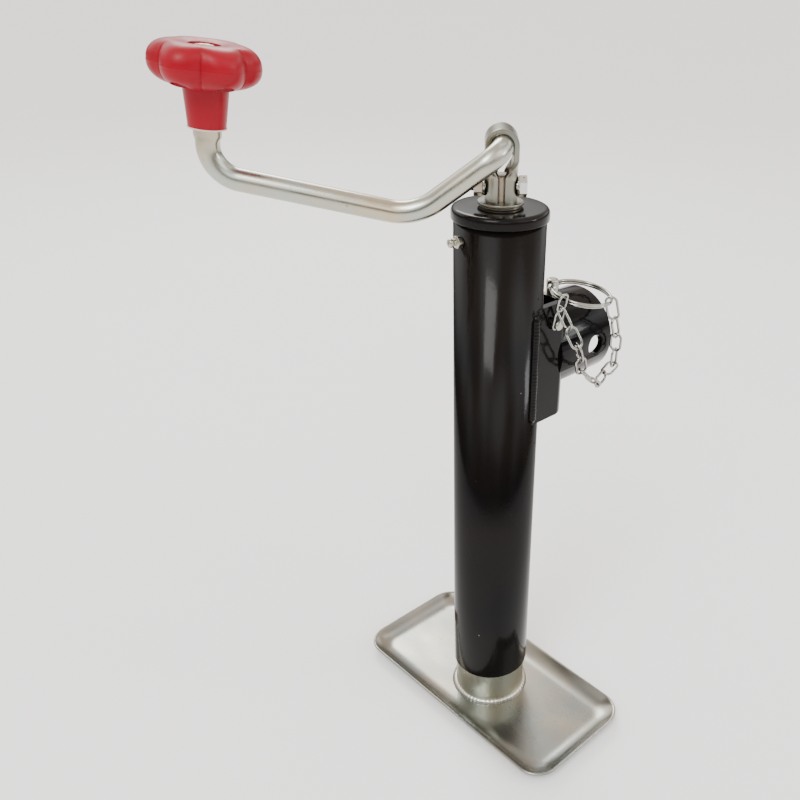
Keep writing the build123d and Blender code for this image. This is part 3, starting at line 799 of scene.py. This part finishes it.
@dataclass
class TubeAndCap:
    """The outer tube, its pressed cap and the grease nipple."""

    finishes: Finishes
    wall: float = 1.4 * MM
    cap_wall: float = 2.0 * MM
    cap_round: float = 4.2 * MM
    cap_gap: float = 0.02 * MM
    cap_hole_share: float = 0.3
    cap_hole_room: float = 0.6 * MM
    lip_round: float = 0.7 * MM
    lip_height: float = 1.2 * MM
    lip_wave: float = 0.35 * MM
    tube_ease: float = 0.5 * MM
    nipple_azimuth: float = 171.0
    nipple_flat: float = 3.5 * MM
    segments: int = 160

    def build(self) -> None:
        """Build the tube, cap and nipple."""
        tube = Span("outer_tube")
        r, bore = tube.radius, tube.radius - self.wall
        ease = self.tube_ease
        outline = rounded([
            (bore, tube.low.z, ease), (r, tube.low.z, ease), (r, tube.high.z, 0), (bore, tube.high.z, 0),
        ])
        shell = lathe("tube_shell", outline, Matrix(), self.segments)
        fit(shell, Body.TUBE, Slot.PAINT, self.finishes.paint, "outer_tube")
        self.cap(r)
        self.nipple(r)

    def cap(self, tube_r: float) -> None:
        """Press the cap, with a slightly wavy bottom edge.

        Args:
            tube_r: the tube's outer radius.
        """
        cap = Span("top_cap")
        hole = tube_r * self.cap_hole_share + self.cap_hole_room
        low, high = cap.low.z, cap.high.z
        inner, under, ease = tube_r + self.cap_gap, high - self.cap_wall, 0.2 * MM
        outline = rounded([
            (inner, low, ease), (cap.radius, low, self.lip_round), (cap.radius, high, self.cap_round),
            (hole, high, ease), (hole, under, ease), (inner, under, ease),
        ])

        def wave(angle: float, i: int) -> tuple[float, float]:
            """How far the lip rises at an angle and an outline point."""
            if outline[i][1] > low + self.lip_height:
                return 0.0, 0.0
            drift = noise.noise(Vector((math.cos(angle) * 1.7, math.sin(angle) * 1.7, 9.0)))
            return 0.0, max(0.0, self.lip_wave * drift)

        pressing = lathe("pressed_cap", outline, Matrix(), self.segments, wave)
        fit(pressing, Body.TUBE, Slot.PAINT, self.finishes.paint, "top_cap")
        dress("spindle_bush", self.finishes.steel, 0.25 * MM)
        dress("bearing_seat_plate", self.finishes.steel)

    def nipple(self, tube_r: float) -> None:
        """Build the grease nipple: hex base, waist and ball end with its valve.

        Args:
            tube_r: the tube's outer radius.
        """
        span = Span("grease_nipple")
        azimuth = math.radians(self.nipple_azimuth)
        out = Vector((math.cos(azimuth), math.sin(azimuth), 0))
        base = out * (tube_r + 0.05 * MM) + UP * (span.low.z + span.high.z) / 2
        place = frame_matrix(base, out, UP)
        flat = self.nipple_flat

        base_outline = rounded([
            (0.6 * MM, 0, 0), (flat, 0, 0.2 * MM), (flat, 3.4 * MM, 0.3 * MM), (2.5 * MM, 4.0 * MM, 0.2 * MM),
            (0.6 * MM, 4.0 * MM, 0),
        ], 4)

        def hexagon(angle: float, i: int) -> tuple[float, float]:
            """How far the base's corners stand out at an angle and an outline point."""
            reach = flat / math.cos((angle + math.pi / 6) % (math.pi / 3) - math.pi / 6)
            return (min(reach, flat * 1.1) - flat if base_outline[i][0] > flat * 0.96 else 0.0), 0.0

        body = lathe("nipple_base", base_outline, place, 72, hexagon)
        tip_outline = rounded([
            (0.5 * MM, 3.8 * MM, 0), (1.9 * MM, 3.8 * MM, 0.2 * MM), (1.6 * MM, 5.4 * MM, 0.5 * MM),
            (2.7 * MM, 6.2 * MM, 0.9 * MM), (2.6 * MM, 8.2 * MM, 1.0 * MM), (1.3 * MM, 8.9 * MM, 0.3 * MM),
            (1.1 * MM, 8.5 * MM, 0.1 * MM), (0.5 * MM, 8.7 * MM, 0.1 * MM),
        ], 5)
        tip = lathe("nipple_tip", tip_outline, place, 48)
        sharpen(body, 25)
        fitting = one_piece("grease_fitting", [body, tip])
        fit(fitting, Body.TUBE, Slot.ZINC, self.finishes.zinc, "grease_nipple")


@dataclass
class Spindle:
    """The screw, its bearing and its stops, all inside the tube, and the washer on top."""

    finishes: Finishes
    washer_bore: float = 6.4 * MM

    def build(self) -> None:
        """Dress the inner pieces and cut the washer."""
        for node in ("bearing_top_race", "bearing_bottom_race", "thrust_collar", "lead_screw"):
            dress(node, self.finishes.steel, 0.25 * MM)
        for node in ("bearing_balls", "bearing_ball_cage"):
            dress(node, self.finishes.steel)
        for node in ("collar_pin", "screw_stop_washer", "screw_stop_pin"):
            dress(node, self.finishes.steel)
        washer = Span("cap_washer")
        bore, r = self.washer_bore, washer.radius
        z0, z1 = washer.low.z, washer.high.z
        outline = rounded([
            (bore, z0, 0.2 * MM), (r, z0, 0.35 * MM), (r, z1, 0.7 * MM), (bore, z1, 0.3 * MM),
        ])
        ring = lathe("spigot_washer", outline, Matrix())
        fit(ring, Body.CRANK, Slot.ZINC, self.finishes.strap, "cap_washer")


@dataclass
class CrankHead:
    """The bent strap on the spigot and the bolt through it."""

    finishes: Finishes
    plate: float = 3.4 * MM
    depth: float = 19.0 * MM
    bore_r: float = 6.58 * MM
    wrap_r: float = 6.37 * MM
    tab: float = 21.8 * MM
    edge: float = 0.75 * MM
    shoulder_rise: float = 7.5 * MM
    tab_rise: float = 14.0 * MM
    tab_steps: int = 8
    shoulder_steps: int = 16
    side_steps: int = 4
    arch_steps: int = 48

    def build(self) -> None:
        """Bend the strap and dress its bolt, nut and washers."""
        self.strap()
        dress("strap_bolt", self.finishes.bolt, 0.35 * MM)
        dress("strap_lock_nut", self.finishes.steel, 0.45 * MM)
        dress("strap_bolt_washers", self.finishes.zinc, 0.2 * MM)

    def strap(self) -> None:
        """Bend one plate over the pivot and wrap both its legs round the spigot."""
        fold = joint_named("handle_fold")
        pivot, deep = Vector(fold["pos_m"]), Vector(fold["axis"])
        out = UP.cross(deep).normalized()
        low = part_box("crank_strap")[0].z - pivot.z
        tab_top = low + self.tab_rise
        shoulder = -self.shoulder_rise
        rows = [(low, 1.0, self.tab)]
        for k in range(1, self.tab_steps + 1):
            rows.append((low + (tab_top - low) * k / self.tab_steps, 1.0, self.tab))
        for k in range(1, self.shoulder_steps + 1):
            t = k / self.shoulder_steps
            ease = t * t * (3 - 2 * t)
            width = self.tab + (self.depth - self.tab) * ease
            rows.append((tab_top + (shoulder - tab_top) * t, 1 - ease, width))
        rows += [(shoulder * (1 - k / self.side_steps), 0.0, self.depth) for k in range(1, self.side_steps)]
        rings = [self.row(pivot, out, deep, 1, *row) for row in rows]
        for k in range(self.arch_steps + 1):
            a = math.pi * k / self.arch_steps
            outward = out * math.cos(a) + UP * math.sin(a)
            rings.append(self.loop(pivot + outward * self.bore_r, outward, deep, 0.0, self.depth))
        rings += [self.row(pivot, out, deep, -1, *row) for row in reversed(rows)]
        strap = skin("bent_strap", rings, wrap=False, ends=True)
        sharpen(strap, 40)
        fit(strap, Body.CRANK, Slot.ZINC, self.finishes.strap, "crank_strap")

    def row(self, pivot: Vector, out: Vector, deep: Vector, side: int,
            rise: float, bend: float, width: float) -> list[Vector]:
        """One level ring of points round a leg of the strap.

        Args:
            pivot: the handle's pivot.
            out: the direction from the spigot to the leg on the first side.
            deep: the direction along the pivot.
            side: 1 or -1, which leg.
            rise: height above the pivot.
            bend: 0 for flat, 1 for wrapped round the spigot.
            width: the leg's width, along its curve.

        Returns:
            The ring's points.
        """
        inner = self.bore_r + (self.wrap_r - self.bore_r) * bend
        outward = out * side
        return self.loop(pivot + UP * rise + outward * inner, outward, deep, bend, width)

    def loop(self, inner: Vector, outward: Vector, deep: Vector, bend: float, width: float) -> list[Vector]:
        """The plate's section at one place, curved as far as bend says.

        Args:
            inner: the middle of the plate's inner face.
            outward: the direction through the plate.
            deep: the direction across it.
            bend: 0 for flat, 1 for wrapped round the spigot.
            width: the plate's width, along its middle line.

        Returns:
            The section's points.
        """
        half, e = width / 2, min(self.edge, width / 4)
        corners = rounded([(-half, 0, e), (half, 0, e), (half, self.plate, e), (-half, self.plate, e)], 4)
        flat = []
        for n, (u, v) in enumerate(corners):
            u2, v2 = corners[(n + 1) % len(corners)]
            pieces = 12 if abs(u2 - u) > width / 3 else 1
            flat += [(u + (u2 - u) * k / pieces, v + (v2 - v) * k / pieces) for k in range(pieces)]
        middle_r = self.wrap_r + self.plate / 2
        ring = []
        for u, v in flat:
            turn = u / middle_r * bend
            if abs(bend) < 1e-3:
                across, through = u, v
            else:
                curve = middle_r / bend
                across = (curve + v - self.plate / 2) * math.sin(turn)
                through = (curve + v - self.plate / 2) * math.cos(turn) - curve + self.plate / 2
            ring.append(inner + outward * through + deep * across)
        return ring


@dataclass
class FoldingHandle:
    """The bent rod, pinched under the knob, with its washer and clip."""

    finishes: Finishes
    rod_r: float = 6.5 * MM
    elbow_r: float = 13.5 * MM
    low_bend_r: float = 34.0 * MM
    knob_bend_r: float = 18.0 * MM
    front: float = 23.35 * MM
    back: float = 14.5 * MM
    low_reach: float = 49.7 * MM
    low_drop: float = 37.0 * MM
    corner_reach: float = 162.8 * MM
    corner_drop: float = 15.5 * MM
    pinch_length: float = 6.5 * MM
    pinch_width: float = 1.1 * MM
    pinch_flat: float = 0.1 * MM
    end_round: float = 1.4 * MM
    step: float = 0.9 * MM
    spigot_r: float = 5.2 * MM
    spigot_top: float = 42.0 * MM
    spigot_root: float = 0.5 * MM

    def build(self) -> None:
        """Build the rod and dress what holds it."""
        fold, spin = joint_named("handle_fold"), joint_named("knob_spin")
        pivot, hinge = Vector(fold["pos_m"]), Vector(fold["axis"])
        out = UP.cross(hinge).normalized()
        shoulder = Vector(spin["pos_m"])

        def at(across: float, rise: float, depth: float) -> Vector:
            """A place measured from the pivot: away from the tube, up and along the hinge."""
            return pivot + out * across + UP * rise + hinge * depth

        corners = [
            at(0, 0, self.back), at(0, 0, -self.front), at(self.low_reach, -self.low_drop, -self.front),
            at(self.corner_reach, -self.corner_drop, -self.front), shoulder,
        ]
        path = bent_path(corners, [self.elbow_r, self.low_bend_r, self.knob_bend_r], self.step)
        travelled = [0.0]
        for a, b in zip(path, path[1:]):
            travelled.append(travelled[-1] + (b - a).length)
        total = travelled[-1]

        def section(angle: float, share: float) -> tuple[float, float]:
            """The rod's skin at an angle and a share of its length."""
            gone = travelled[round(share * (len(path) - 1))]
            r = self.rod_r
            if gone < self.end_round:
                left = 1 - gone / self.end_round
                r -= self.end_round * (1 - math.sqrt(max(0.0, 1 - left * left)))
            ahead = max(0.0, 1 - (total - gone) / self.pinch_length)
            pinch = min(1.0, ahead * 2.2)
            pinch = pinch * pinch * (3 - 2 * pinch)
            ear = self.pinch_width * pinch * abs(math.cos(angle)) ** 6
            r -= self.pinch_flat * pinch * math.sin(angle) ** 2
            return (r + ear) * math.cos(angle), r * math.sin(angle)

        in_plane = (corners[2] - corners[1]).cross(hinge)
        rod = sweep("crank_rod", path, section, in_plane, around=56)
        knob_axis = Vector(spin["axis"])
        place = frame_matrix(shoulder, knob_axis, out)
        root, top, middle = -self.spigot_root, self.spigot_top, 0.3 * MM
        outline = rounded([
            (middle, root, 0), (self.spigot_r, root, 0), (self.spigot_r, top, 0.8 * MM), (middle, top, 0),
        ])
        spigot = lathe("rod_spigot", outline, place, 48)
        sharpen(rod, 50)
        bent = one_piece("crank_rod_bent", [rod, spigot])
        fit(bent, Body.HANDLE, Slot.ZINC, self.finishes.zinc, "handle_rod")
        for node in ("pivot_washer", "pivot_push_clip", "knob_push_nut"):
            dress(node, self.finishes.zinc, 0.2 * MM)


@dataclass
class HandKnob:
    """The six-lobed moulded knob with its stem, hub recess and parting line."""

    finishes: Finishes
    lobes: int = 6
    lobe_pitch_r: float = 16.5 * MM
    lobe_r: float = 12.3 * MM
    phase: float = 40.0
    gap: float = 0.35 * MM
    stem: float = 21.1 * MM
    body: float = 22.0 * MM
    stem_low_r: float = 9.9 * MM
    stem_high_r: float = 12.0 * MM
    bore_r: float = 5.28 * MM
    recess_r: float = 8.0 * MM
    recess_depth: float = 11.0 * MM
    hub_sink: float = 0.9 * MM
    power: float = 2.3
    crown_r: float = 15.5 * MM
    pocket_r: float = 5.0 * MM
    pocket_pitch_r: float = 20.6 * MM
    pocket_depth: float = 7.0 * MM
    line_height: float = 0.16 * MM
    flash_r: float = 10.4 * MM
    flash_height: float = 0.7 * MM
    valley_fill: float = 1.2 * MM
    valley_share: float = 0.6
    pocket_edge: float = 0.9 * MM
    stem_steps: int = 8
    segments: int = 288
    round_steps: int = 44

    def from_lobe(self, angle: float) -> float:
        """The angle from the middle of the nearest lobe."""
        sector = 2 * math.pi / self.lobes
        return (angle - math.radians(self.phase) + sector / 2) % sector - sector / 2

    def reach(self, angle: float) -> float:
        """The lobed outline's radius at an angle.

        Args:
            angle: angle about the knob, in radians.

        Returns:
            The radius.
        """
        off, edge = self.from_lobe(angle), math.pi / self.lobes
        straight = self.lobe_pitch_r * math.sin(off)
        sharp = self.lobe_pitch_r * math.cos(off) + math.sqrt(max(self.lobe_r**2 - straight**2, 0.0))
        fill = self.valley_fill * max(0.0, math.cos(3 * math.pi * (abs(off) / edge - 1) / 2)) ** 4
        return sharp + fill * self.valley_share

    def build(self) -> None:
        """Mould the knob."""
        spin = joint_named("knob_spin")
        side = Vector(joint_named("handle_fold")["axis"])
        place = frame_matrix(Vector(spin["pos_m"]), Vector(spin["axis"]), side)
        low = self.gap
        neck = low + self.stem
        middle, half = neck + self.body / 2, self.body / 2
        top = middle + half
        floor = top - self.recess_depth
        rings = []
        for s in range(self.segments):
            angle = 2 * math.pi * s / self.segments
            line = self.hub(top) + self.side(angle, middle, half)
            for k in range(1, self.stem_steps + 1):
                t = k / self.stem_steps
                radius = self.stem_high_r + (self.stem_low_r - self.stem_high_r) * t
                line.append((radius, neck + (low - neck) * t))
            line += [
                (self.stem_low_r - 0.3 * MM, low), (self.bore_r + 0.6 * MM, low),
                (self.bore_r, low + 0.6 * MM),
                (self.bore_r, floor - 0.3 * MM), (self.bore_r + 0.3 * MM, floor),
                (self.recess_r - 0.6 * MM, floor), (self.recess_r - 0.1 * MM, floor + 0.5 * MM),
            ]
            rings.append([place @ Vector((r * math.cos(angle), r * math.sin(angle), z)) for r, z in line])
        knob = skin("lobed_knob", rings, wrap=True, ends=False)
        sharpen(knob, 50)
        fit(knob, Body.KNOB, Slot.PLASTIC, self.finishes.plastic, "hand_knob")
        inner, rise = self.stem_low_r - 0.5 * MM, low + self.flash_height
        outline = rounded([
            (inner, low, 0), (self.flash_r, low, 0.2 * MM), (self.flash_r, rise, 0.2 * MM), (inner, rise, 0),
        ])
        flash = lathe("moulding_flash", outline, place, 96)
        fit(flash, Body.KNOB, Slot.PLASTIC, self.finishes.flash)

    def hub(self, top: float) -> Profile:
        """The dished middle of the knob's top, from the recess out to the crown.

        Args:
            top: height of the crown.

        Returns:
            Points of radius and height.
        """
        rim = top - self.hub_sink
        line = [(self.recess_r, rim - 0.9 * MM), (self.recess_r + 0.25 * MM, rim - 0.25 * MM)]
        for k in range(1, 10):
            t = k / 10
            start = self.recess_r + 0.8 * MM
            line.append((start + (self.crown_r - start) * t, rim + self.hub_sink * math.sin(t * math.pi / 2)))
        return line

    def side(self, angle: float, middle: float, half: float) -> Profile:
        """The rounded outside, from the crown over the lobe and under to the stem.

        Args:
            angle: angle about the knob's axis.
            middle: height of the widest line.
            half: half the body's height.

        Returns:
            Points of radius and height.
        """
        reach = self.reach(angle)
        line: Profile = []
        for k in range(self.round_steps + 1):
            t = math.pi * k / self.round_steps
            share = abs(math.sin(t)) ** (2 / self.power)
            start = self.crown_r if k <= self.round_steps / 2 else self.stem_high_r
            rise = math.copysign(abs(math.cos(t)) ** (2 / self.power), math.cos(t))
            radius = start + (reach - start) * share
            height = middle + half * rise
            if height < middle - half * 0.35:
                height += self.pocket(radius, angle)
            if k == self.round_steps // 2:
                line.append((radius - 0.02 * MM, middle + 0.3 * MM))
                line.append((radius + self.line_height - 0.05 * MM, middle))
                line.append((radius - 0.02 * MM, middle - 0.3 * MM))
            else:
                line.append((radius, height))
        return line

    def pocket(self, radius: float, angle: float) -> float:
        """How far the underside is hollowed at a point.

        Args:
            radius: the point's distance from the knob's axis.
            angle: its angle about the axis.

        Returns:
            The rise of the surface.
        """
        off, centre = self.from_lobe(angle), self.pocket_pitch_r
        away = math.hypot(radius * math.cos(off) - centre, radius * math.sin(off))
        edge = min(1.0, max(0.0, (self.pocket_r - away) / self.pocket_edge))
        return self.pocket_depth * edge * edge * (3 - 2 * edge)


@dataclass
class SideMount:
    """The channel bracket, its pipe and the welds that hold them."""

    finishes: Finishes
    bead_r: float = 3.2 * MM
    ripple_pitch: float = 2.3 * MM
    bead_step: float = 0.5 * MM
    bead_taper: float = 3.0 * MM
    bead_stub: float = 0.6 * MM
    spots: tuple = ((-66, 0.345), (-75, 0.338), (-60, 0.352), (-70, 0.24), (-64, 0.232))

    def build(self) -> None:
        """Dress the bracket and pipe, and lay the welds."""
        dress("mount_bracket", self.finishes.paint, 0.8 * MM)
        dress("mount_pipe", self.finishes.paint, 0.35 * MM)
        dress("pipe_weld_beads", self.finishes.paint, 0.5 * MM)
        self.side_beads()
        self.spatter()

    def side_beads(self) -> None:
        """Lay a rippled bead down each side of the bracket."""
        span = Span("bracket_weld_beads")
        x = (span.low.x + span.high.x) / 2
        beads = []
        for side in (-1, 1):
            y = side * (span.high.y - self.bead_r)
            length = span.high.z - span.low.z
            count = int(length / self.bead_step)
            path = [Vector((x, y, span.low.z + length * k / count)) for k in range(count + 1)]

            def section(angle: float, share: float) -> tuple[float, float]:
                """The bead's skin at an angle and a share of its length."""
                along = share * length
                wander = noise.noise(Vector((side * 5.0, 0, along * 90)))
                wave = 0.5 + 0.5 * math.sin(2 * math.pi * along / self.ripple_pitch + 2 * wander)
                near = min(along, length - along) + self.bead_stub
                taper = min(1.0, near / self.bead_taper)
                r = self.bead_r * (0.8 + 0.1 * wander + 0.08 * wave) * math.sqrt(taper)
                return r * math.cos(angle), r * math.sin(angle)

            beads.append(sweep(f"side_bead_{side}", path, section, Vector((1, 0, 0)), around=24))
        pair = one_piece("side_weld_beads", beads)
        fit(pair, Body.TUBE, Slot.PAINT, self.finishes.paint, "bracket_weld_beads")

    def spatter(self) -> None:
        """Scatter small painted-over beads of weld spatter near the bracket."""
        tube = Span("outer_tube")
        dots = []
        for k, (azimuth, height) in enumerate(self.spots):
            a = math.radians(azimuth)
            out = Vector((math.cos(a), math.sin(a), 0))
            r = (0.55 + 0.12 * (k % 3)) * MM
            place = frame_matrix(out * (tube.radius - 0.2 * MM) + UP * height, out, UP)
            outline = [(0.02 * MM, 0.0), (r, 0.0)]
            outline += [(r * math.cos(t * math.pi / 12), r * math.sin(t * math.pi / 12)) for t in range(1, 6)]
            outline.append((0.02 * MM, r))
            dots.append(lathe(f"spatter_{k}", outline, place, 20))
        fit(one_piece("weld_spatter", dots), Body.TUBE, Slot.PAINT, self.finishes.paint)


@dataclass
class LockPinAndRing:
    """The lock pin and the split ring that pulls it."""

    finishes: Finishes
    wire_r: float = 0.97 * MM
    ring_r: float = 20.5 * MM
    turns: float = 1.96
    steps: int = 360
    crossing: float = 4.0

    def build(self) -> None:
        """Dress the pin and wind the ring."""
        dress("lock_pin", self.finishes.zinc, 0.3 * MM)
        hinge = joint_named("ring_swing")
        eye, axis = Vector(hinge["pos_m"]), -Vector(hinge["axis"])
        ring = Span("pull_ring")
        centre = (ring.low + ring.high) / 2
        out = (centre - eye).normalized()
        normal = out.cross(axis).normalized()
        path = []
        for k in range(self.steps + 1):
            t = k / self.steps
            angle = 2 * math.pi * self.turns * t
            level = (t - 0.5) * 2
            lift = self.wire_r * 0.93 * math.tanh(self.crossing * level)
            spoke = out * math.cos(angle) + axis * math.sin(angle)
            path.append(centre + spoke * self.ring_r + normal * lift)

        def section(angle: float, share: float) -> tuple[float, float]:
            """The wire's skin at an angle and a share of its length."""
            tip = min(1.0, (min(share, 1 - share) + 0.0005) / 0.006)
            r = self.wire_r * math.sqrt(tip)
            return r * math.cos(angle), r * math.sin(angle)

        wire = sweep("split_ring", path, section, normal, around=20)
        fit(wire, Body.RING, Slot.ZINC, self.finishes.chain, "pull_ring")


@dataclass
class TetherChain:
    """The double-loop chain from the rivet to the ring."""

    finishes: Finishes
    wire_r: float = 0.85 * MM
    width: float = 7.4 * MM
    play: float = 0.4 * MM
    overlap: float = 0.45 * MM
    sharp_turn: float = 0.6
    rivet_r: float = 2.4 * MM
    rivet_depth: float = 2.35 * MM
    ring_wire_r: float = 1.9 * MM
    links_on_tube: int = 4
    route: tuple = (
        (20.8, -34.4, 329.0), (26.4, -46.0, 306.6), (38.2, -41.2, 283.2),
        (56.7, -39.9, 268.0), (80.3, -35.0, 273.6), (78.4, -36.9, 296.5),
    )

    def oval(self, name: str, start: Vector, end: Vector, side: Vector) -> Piece:
        """One closed oval of wire.

        Args:
            name: the mesh's name.
            start: the wire's centre at one end.
            end: the wire's centre at the other.
            side: the direction the oval is wide along.

        Returns:
            The wire loop.
        """
        along = (end - start).normalized()
        side = (side - along * side.dot(along)).normalized()
        middle, half = (start + end) / 2, self.width / 2
        straight = (end - start).length / 2 - half
        path = []
        for sign in (1, -1):
            for k in range(25):
                a = math.pi * (k / 24 - 0.5)
                end_on = middle + along * sign * (straight + half * math.cos(a))
                path.append(end_on + side * sign * half * math.sin(a))
            for k in range(1, 8):
                path.append(middle + along * sign * straight * (1 - k / 4) + side * sign * half)

        def section(angle: float, share: float) -> tuple[float, float]:
            """The round wire's skin at an angle."""
            return self.wire_r * math.cos(angle), self.wire_r * math.sin(angle)

        return sweep(name, path, section, along.cross(side), closed=True, around=16)

    def build(self) -> None:
        """Lay out the links as the frame has them and join each half."""
        hinge = joint_named("ring_swing")
        ring_axis = -Vector(hinge["axis"])
        eye = Vector(hinge["pos_m"])
        centre = sum(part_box("pull_ring"), Vector()) / 2
        rivet = Span("chain_rivet")
        flange_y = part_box("mount_bracket")[0].y
        hook = (rivet.low + rivet.high) / 2
        hook.y = flange_y - self.rivet_depth
        joints = [Vector(p) * MM for p in self.route] + [eye + (centre - eye) * 2]
        runs = [(b - a).normalized() for a, b in zip(joints, joints[1:])]
        gap = 2 * self.wire_r + self.play
        reaches = [gap + self.overlap] + [gap / (1 + a.dot(b)) for a, b in zip(runs, runs[1:])]
        reaches.append(self.ring_wire_r + self.wire_r + self.play)
        flat = Vector((1, 0, 0))
        hooked = self.rivet_r + self.play + self.wire_r
        links = [(hook, hook + (joints[0] - hook) * 2, flat, flat, hooked, 0.0)]
        upper = Vector((0, 1, 0))
        for i, along in enumerate(runs):
            upper = (upper - along * upper.dot(along)).normalized()
            lower = along.cross(upper)
            if i == len(runs) - 1:
                lower = along.cross(ring_axis).normalized()
            elif along.cross(runs[i + 1]).length > self.sharp_turn:
                lower = along.cross(runs[i + 1]).normalized()
            links.append((joints[i], joints[i + 1], upper, lower, reaches[i], reaches[i + 1]))
            if i < len(runs) - 1:
                upper = runs[i + 1].cross(lower).normalized()
        halves: tuple[list, list] = ([], [])
        for n, (start, end, first, second, before, after) in enumerate(links):
            along = (end - start).normalized()
            middle = (start + end) / 2
            half = halves[0] if n < self.links_on_tube else halves[1]
            half.append(self.oval(f"loop_{n}a", start - along * before, middle + along * self.overlap, first))
            half.append(self.oval(f"loop_{n}b", middle - along * self.overlap, end + along * after, second))
        self.hang("tether_chain_near_half", halves[0], "tether_chain")
        self.hang("tether_chain_far_half", halves[1],
                  "tether_chain_end_link")
        dress("chain_rivet", self.finishes.zinc, 0.3 * MM)

    def hang(self, name: str, loops: list[Piece],
             node: str) -> None:
        """Join loops into one half of the chain.

        Args:
            name: the piece's name.
            loops: its wire loops.
            node: the frame's node that it stands for.
        """
        piece = one_piece(name, loops)
        piece.data.materials.append(self.finishes.chain)
        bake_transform(piece)
        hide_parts(node)
        LOG.info("%s: %d faces", name, len(piece.data.polygons))


# ---------------------------------------------------------------- studio


@dataclass
class Studio:
    """The floor, the soft light and the camera."""

    place: tuple = (-0.36230, -0.36230, 0.52783)
    right: tuple = (0.69849, -0.71485, 0.03324)
    above: tuple = (0.32655, 0.35971, 0.87431)
    ahead: tuple = (0.63695, 0.59985, -0.48468)
    lens: float = 38.578
    shift: tuple = (-0.14757, 0.02587)
    floor_size: float = 60.0
    room: float = 3.0

    def build(self) -> None:
        """Set up the floor, light and camera."""
        self.floor()
        self.world()
        self.lamp("key", Vector((-1.3, -0.5, 1.9)), 0.8, 22.0, (1.0, 0.99, 0.97))
        self.lamp("fill", Vector((1.1, -1.3, 0.9)), 0.35, 5.0, (0.96, 0.98, 1.0))
        self.lamp("back", Vector((0.7, 1.3, 1.5)), 0.7, 14.0, (1.0, 0.96, 0.9))
        self.camera()

    def floor(self) -> None:
        """Lay the pale floor."""
        half = self.floor_size / 2
        low = CAD_BOX[0].z
        square = ((-half, -half), (half, -half), (half, half), (-half, half))
        corners = [Vector((x, y, low)) for x, y in square]
        mesh = bpy.data.meshes.new("floor")
        mesh.from_pydata(corners, [], [(0, 1, 2, 3)])
        floor = bpy.data.objects.new("floor", mesh)
        bpy.context.scene.collection.objects.link(floor)
        mesh.materials.append(PaleFloor().material())

    def world(self) -> None:
        """Light the room: bright overhead, with dim brown and grey patches round the sides."""
        world = bpy.data.worlds.new("studio")
        bpy.context.scene.world = world
        world.use_nodes = True
        tree = world.node_tree
        sky = tree.nodes["Background"]
        place = tree.nodes.new("ShaderNodeTexCoord")
        split = tree.nodes.new("ShaderNodeSeparateXYZ")
        tree.links.new(place.outputs["Generated"], split.inputs["Vector"])
        height = self.stops(tree, split.outputs["Z"], ((0.0, (0.05, 0.045, 0.04)), (0.12, (0.16, 0.15, 0.14)),
                                                      (0.42, (0.9, 0.9, 0.9)), (0.8, (1.25, 1.25, 1.25))))
        patches = tree.nodes.new("ShaderNodeTexNoise")
        patches.inputs["Scale"].default_value = 1.7
        patches.inputs["Detail"].default_value = 0.5
        tree.links.new(place.outputs["Generated"], patches.inputs["Vector"])
        tone = self.stops(tree, patches.outputs["Fac"], ((0.4, (0.22, 0.17, 0.13)), (0.6, (1.0, 1.0, 1.0))))
        blend = tree.nodes.new("ShaderNodeMix")
        blend.data_type = "RGBA"
        blend.blend_type = "MULTIPLY"
        blend.inputs["Factor"].default_value = 0.85
        tree.links.new(height, blend.inputs[6])
        tree.links.new(tone, blend.inputs[7])
        tree.links.new(blend.outputs[2], sky.inputs["Color"])
        sky.inputs["Strength"].default_value = self.room

    def stops(self, tree: bpy.types.NodeTree, value: Socket, colours: tuple) -> Socket:
        """A run of colours read off a value.

        Args:
            tree: the node tree to add to.
            value: the socket to read.
            colours: each stop's value and colour.

        Returns:
            The colour's socket.
        """
        ramp = tree.nodes.new("ShaderNodeValToRGB")
        stops = ramp.color_ramp.elements
        while len(stops) < len(colours):
            stops.new(1.0)
        for stop, (position, colour) in zip(stops, colours):
            stop.position = position
            stop.color = (*colour, 1)
        tree.links.new(value, ramp.inputs["Fac"])
        return ramp.outputs["Color"]

    def lamp(self, name: str, place: Vector, size: float, power: float, colour: tuple) -> None:
        """Hang a soft lamp aimed at the jack's middle.

        Args:
            name: the lamp's name.
            place: where it hangs.
            size: width of its face, in metres.
            power: its power, in watts.
            colour: its colour.
        """
        light = bpy.data.lights.new(name, "AREA")
        light.size = size
        light.energy = power
        light.color = colour
        lamp = bpy.data.objects.new(name, light)
        aim = (CAD_BOX[0] + CAD_BOX[1]) / 2
        lamp.matrix_world = frame_matrix(place, place - aim, UP)
        bpy.context.scene.collection.objects.link(lamp)

    def camera(self) -> None:
        """Set the camera."""
        eye = bpy.data.cameras.new("camera")
        eye.lens = self.lens
        eye.sensor_width = 36.0
        eye.shift_x, eye.shift_y = self.shift
        eye.clip_start = 0.01
        camera = bpy.data.objects.new("camera", eye)
        turn = Matrix((Vector(self.right), Vector(self.above), -Vector(self.ahead))).transposed().to_4x4()
        camera.matrix_world = Matrix.Translation(Vector(self.place)) @ turn
        bpy.context.scene.collection.objects.link(camera)
        bpy.context.scene.camera = camera


def main() -> None:
    """Build every sub-assembly in order, then the studio."""
    logging.basicConfig(level=logging.INFO, format="%(name)s %(message)s")
    finishes = Finishes()
    for part in (
        FootAndLeg(finishes), TubeAndCap(finishes), Spindle(finishes), CrankHead(finishes),
        FoldingHandle(finishes), HandKnob(finishes), SideMount(finishes), LockPinAndRing(finishes),
        TetherChain(finishes), Studio(),
    ):
        part.build()
        LOG.info("%s built", type(part).__name__)


if __name__ == "__main__":
    main()
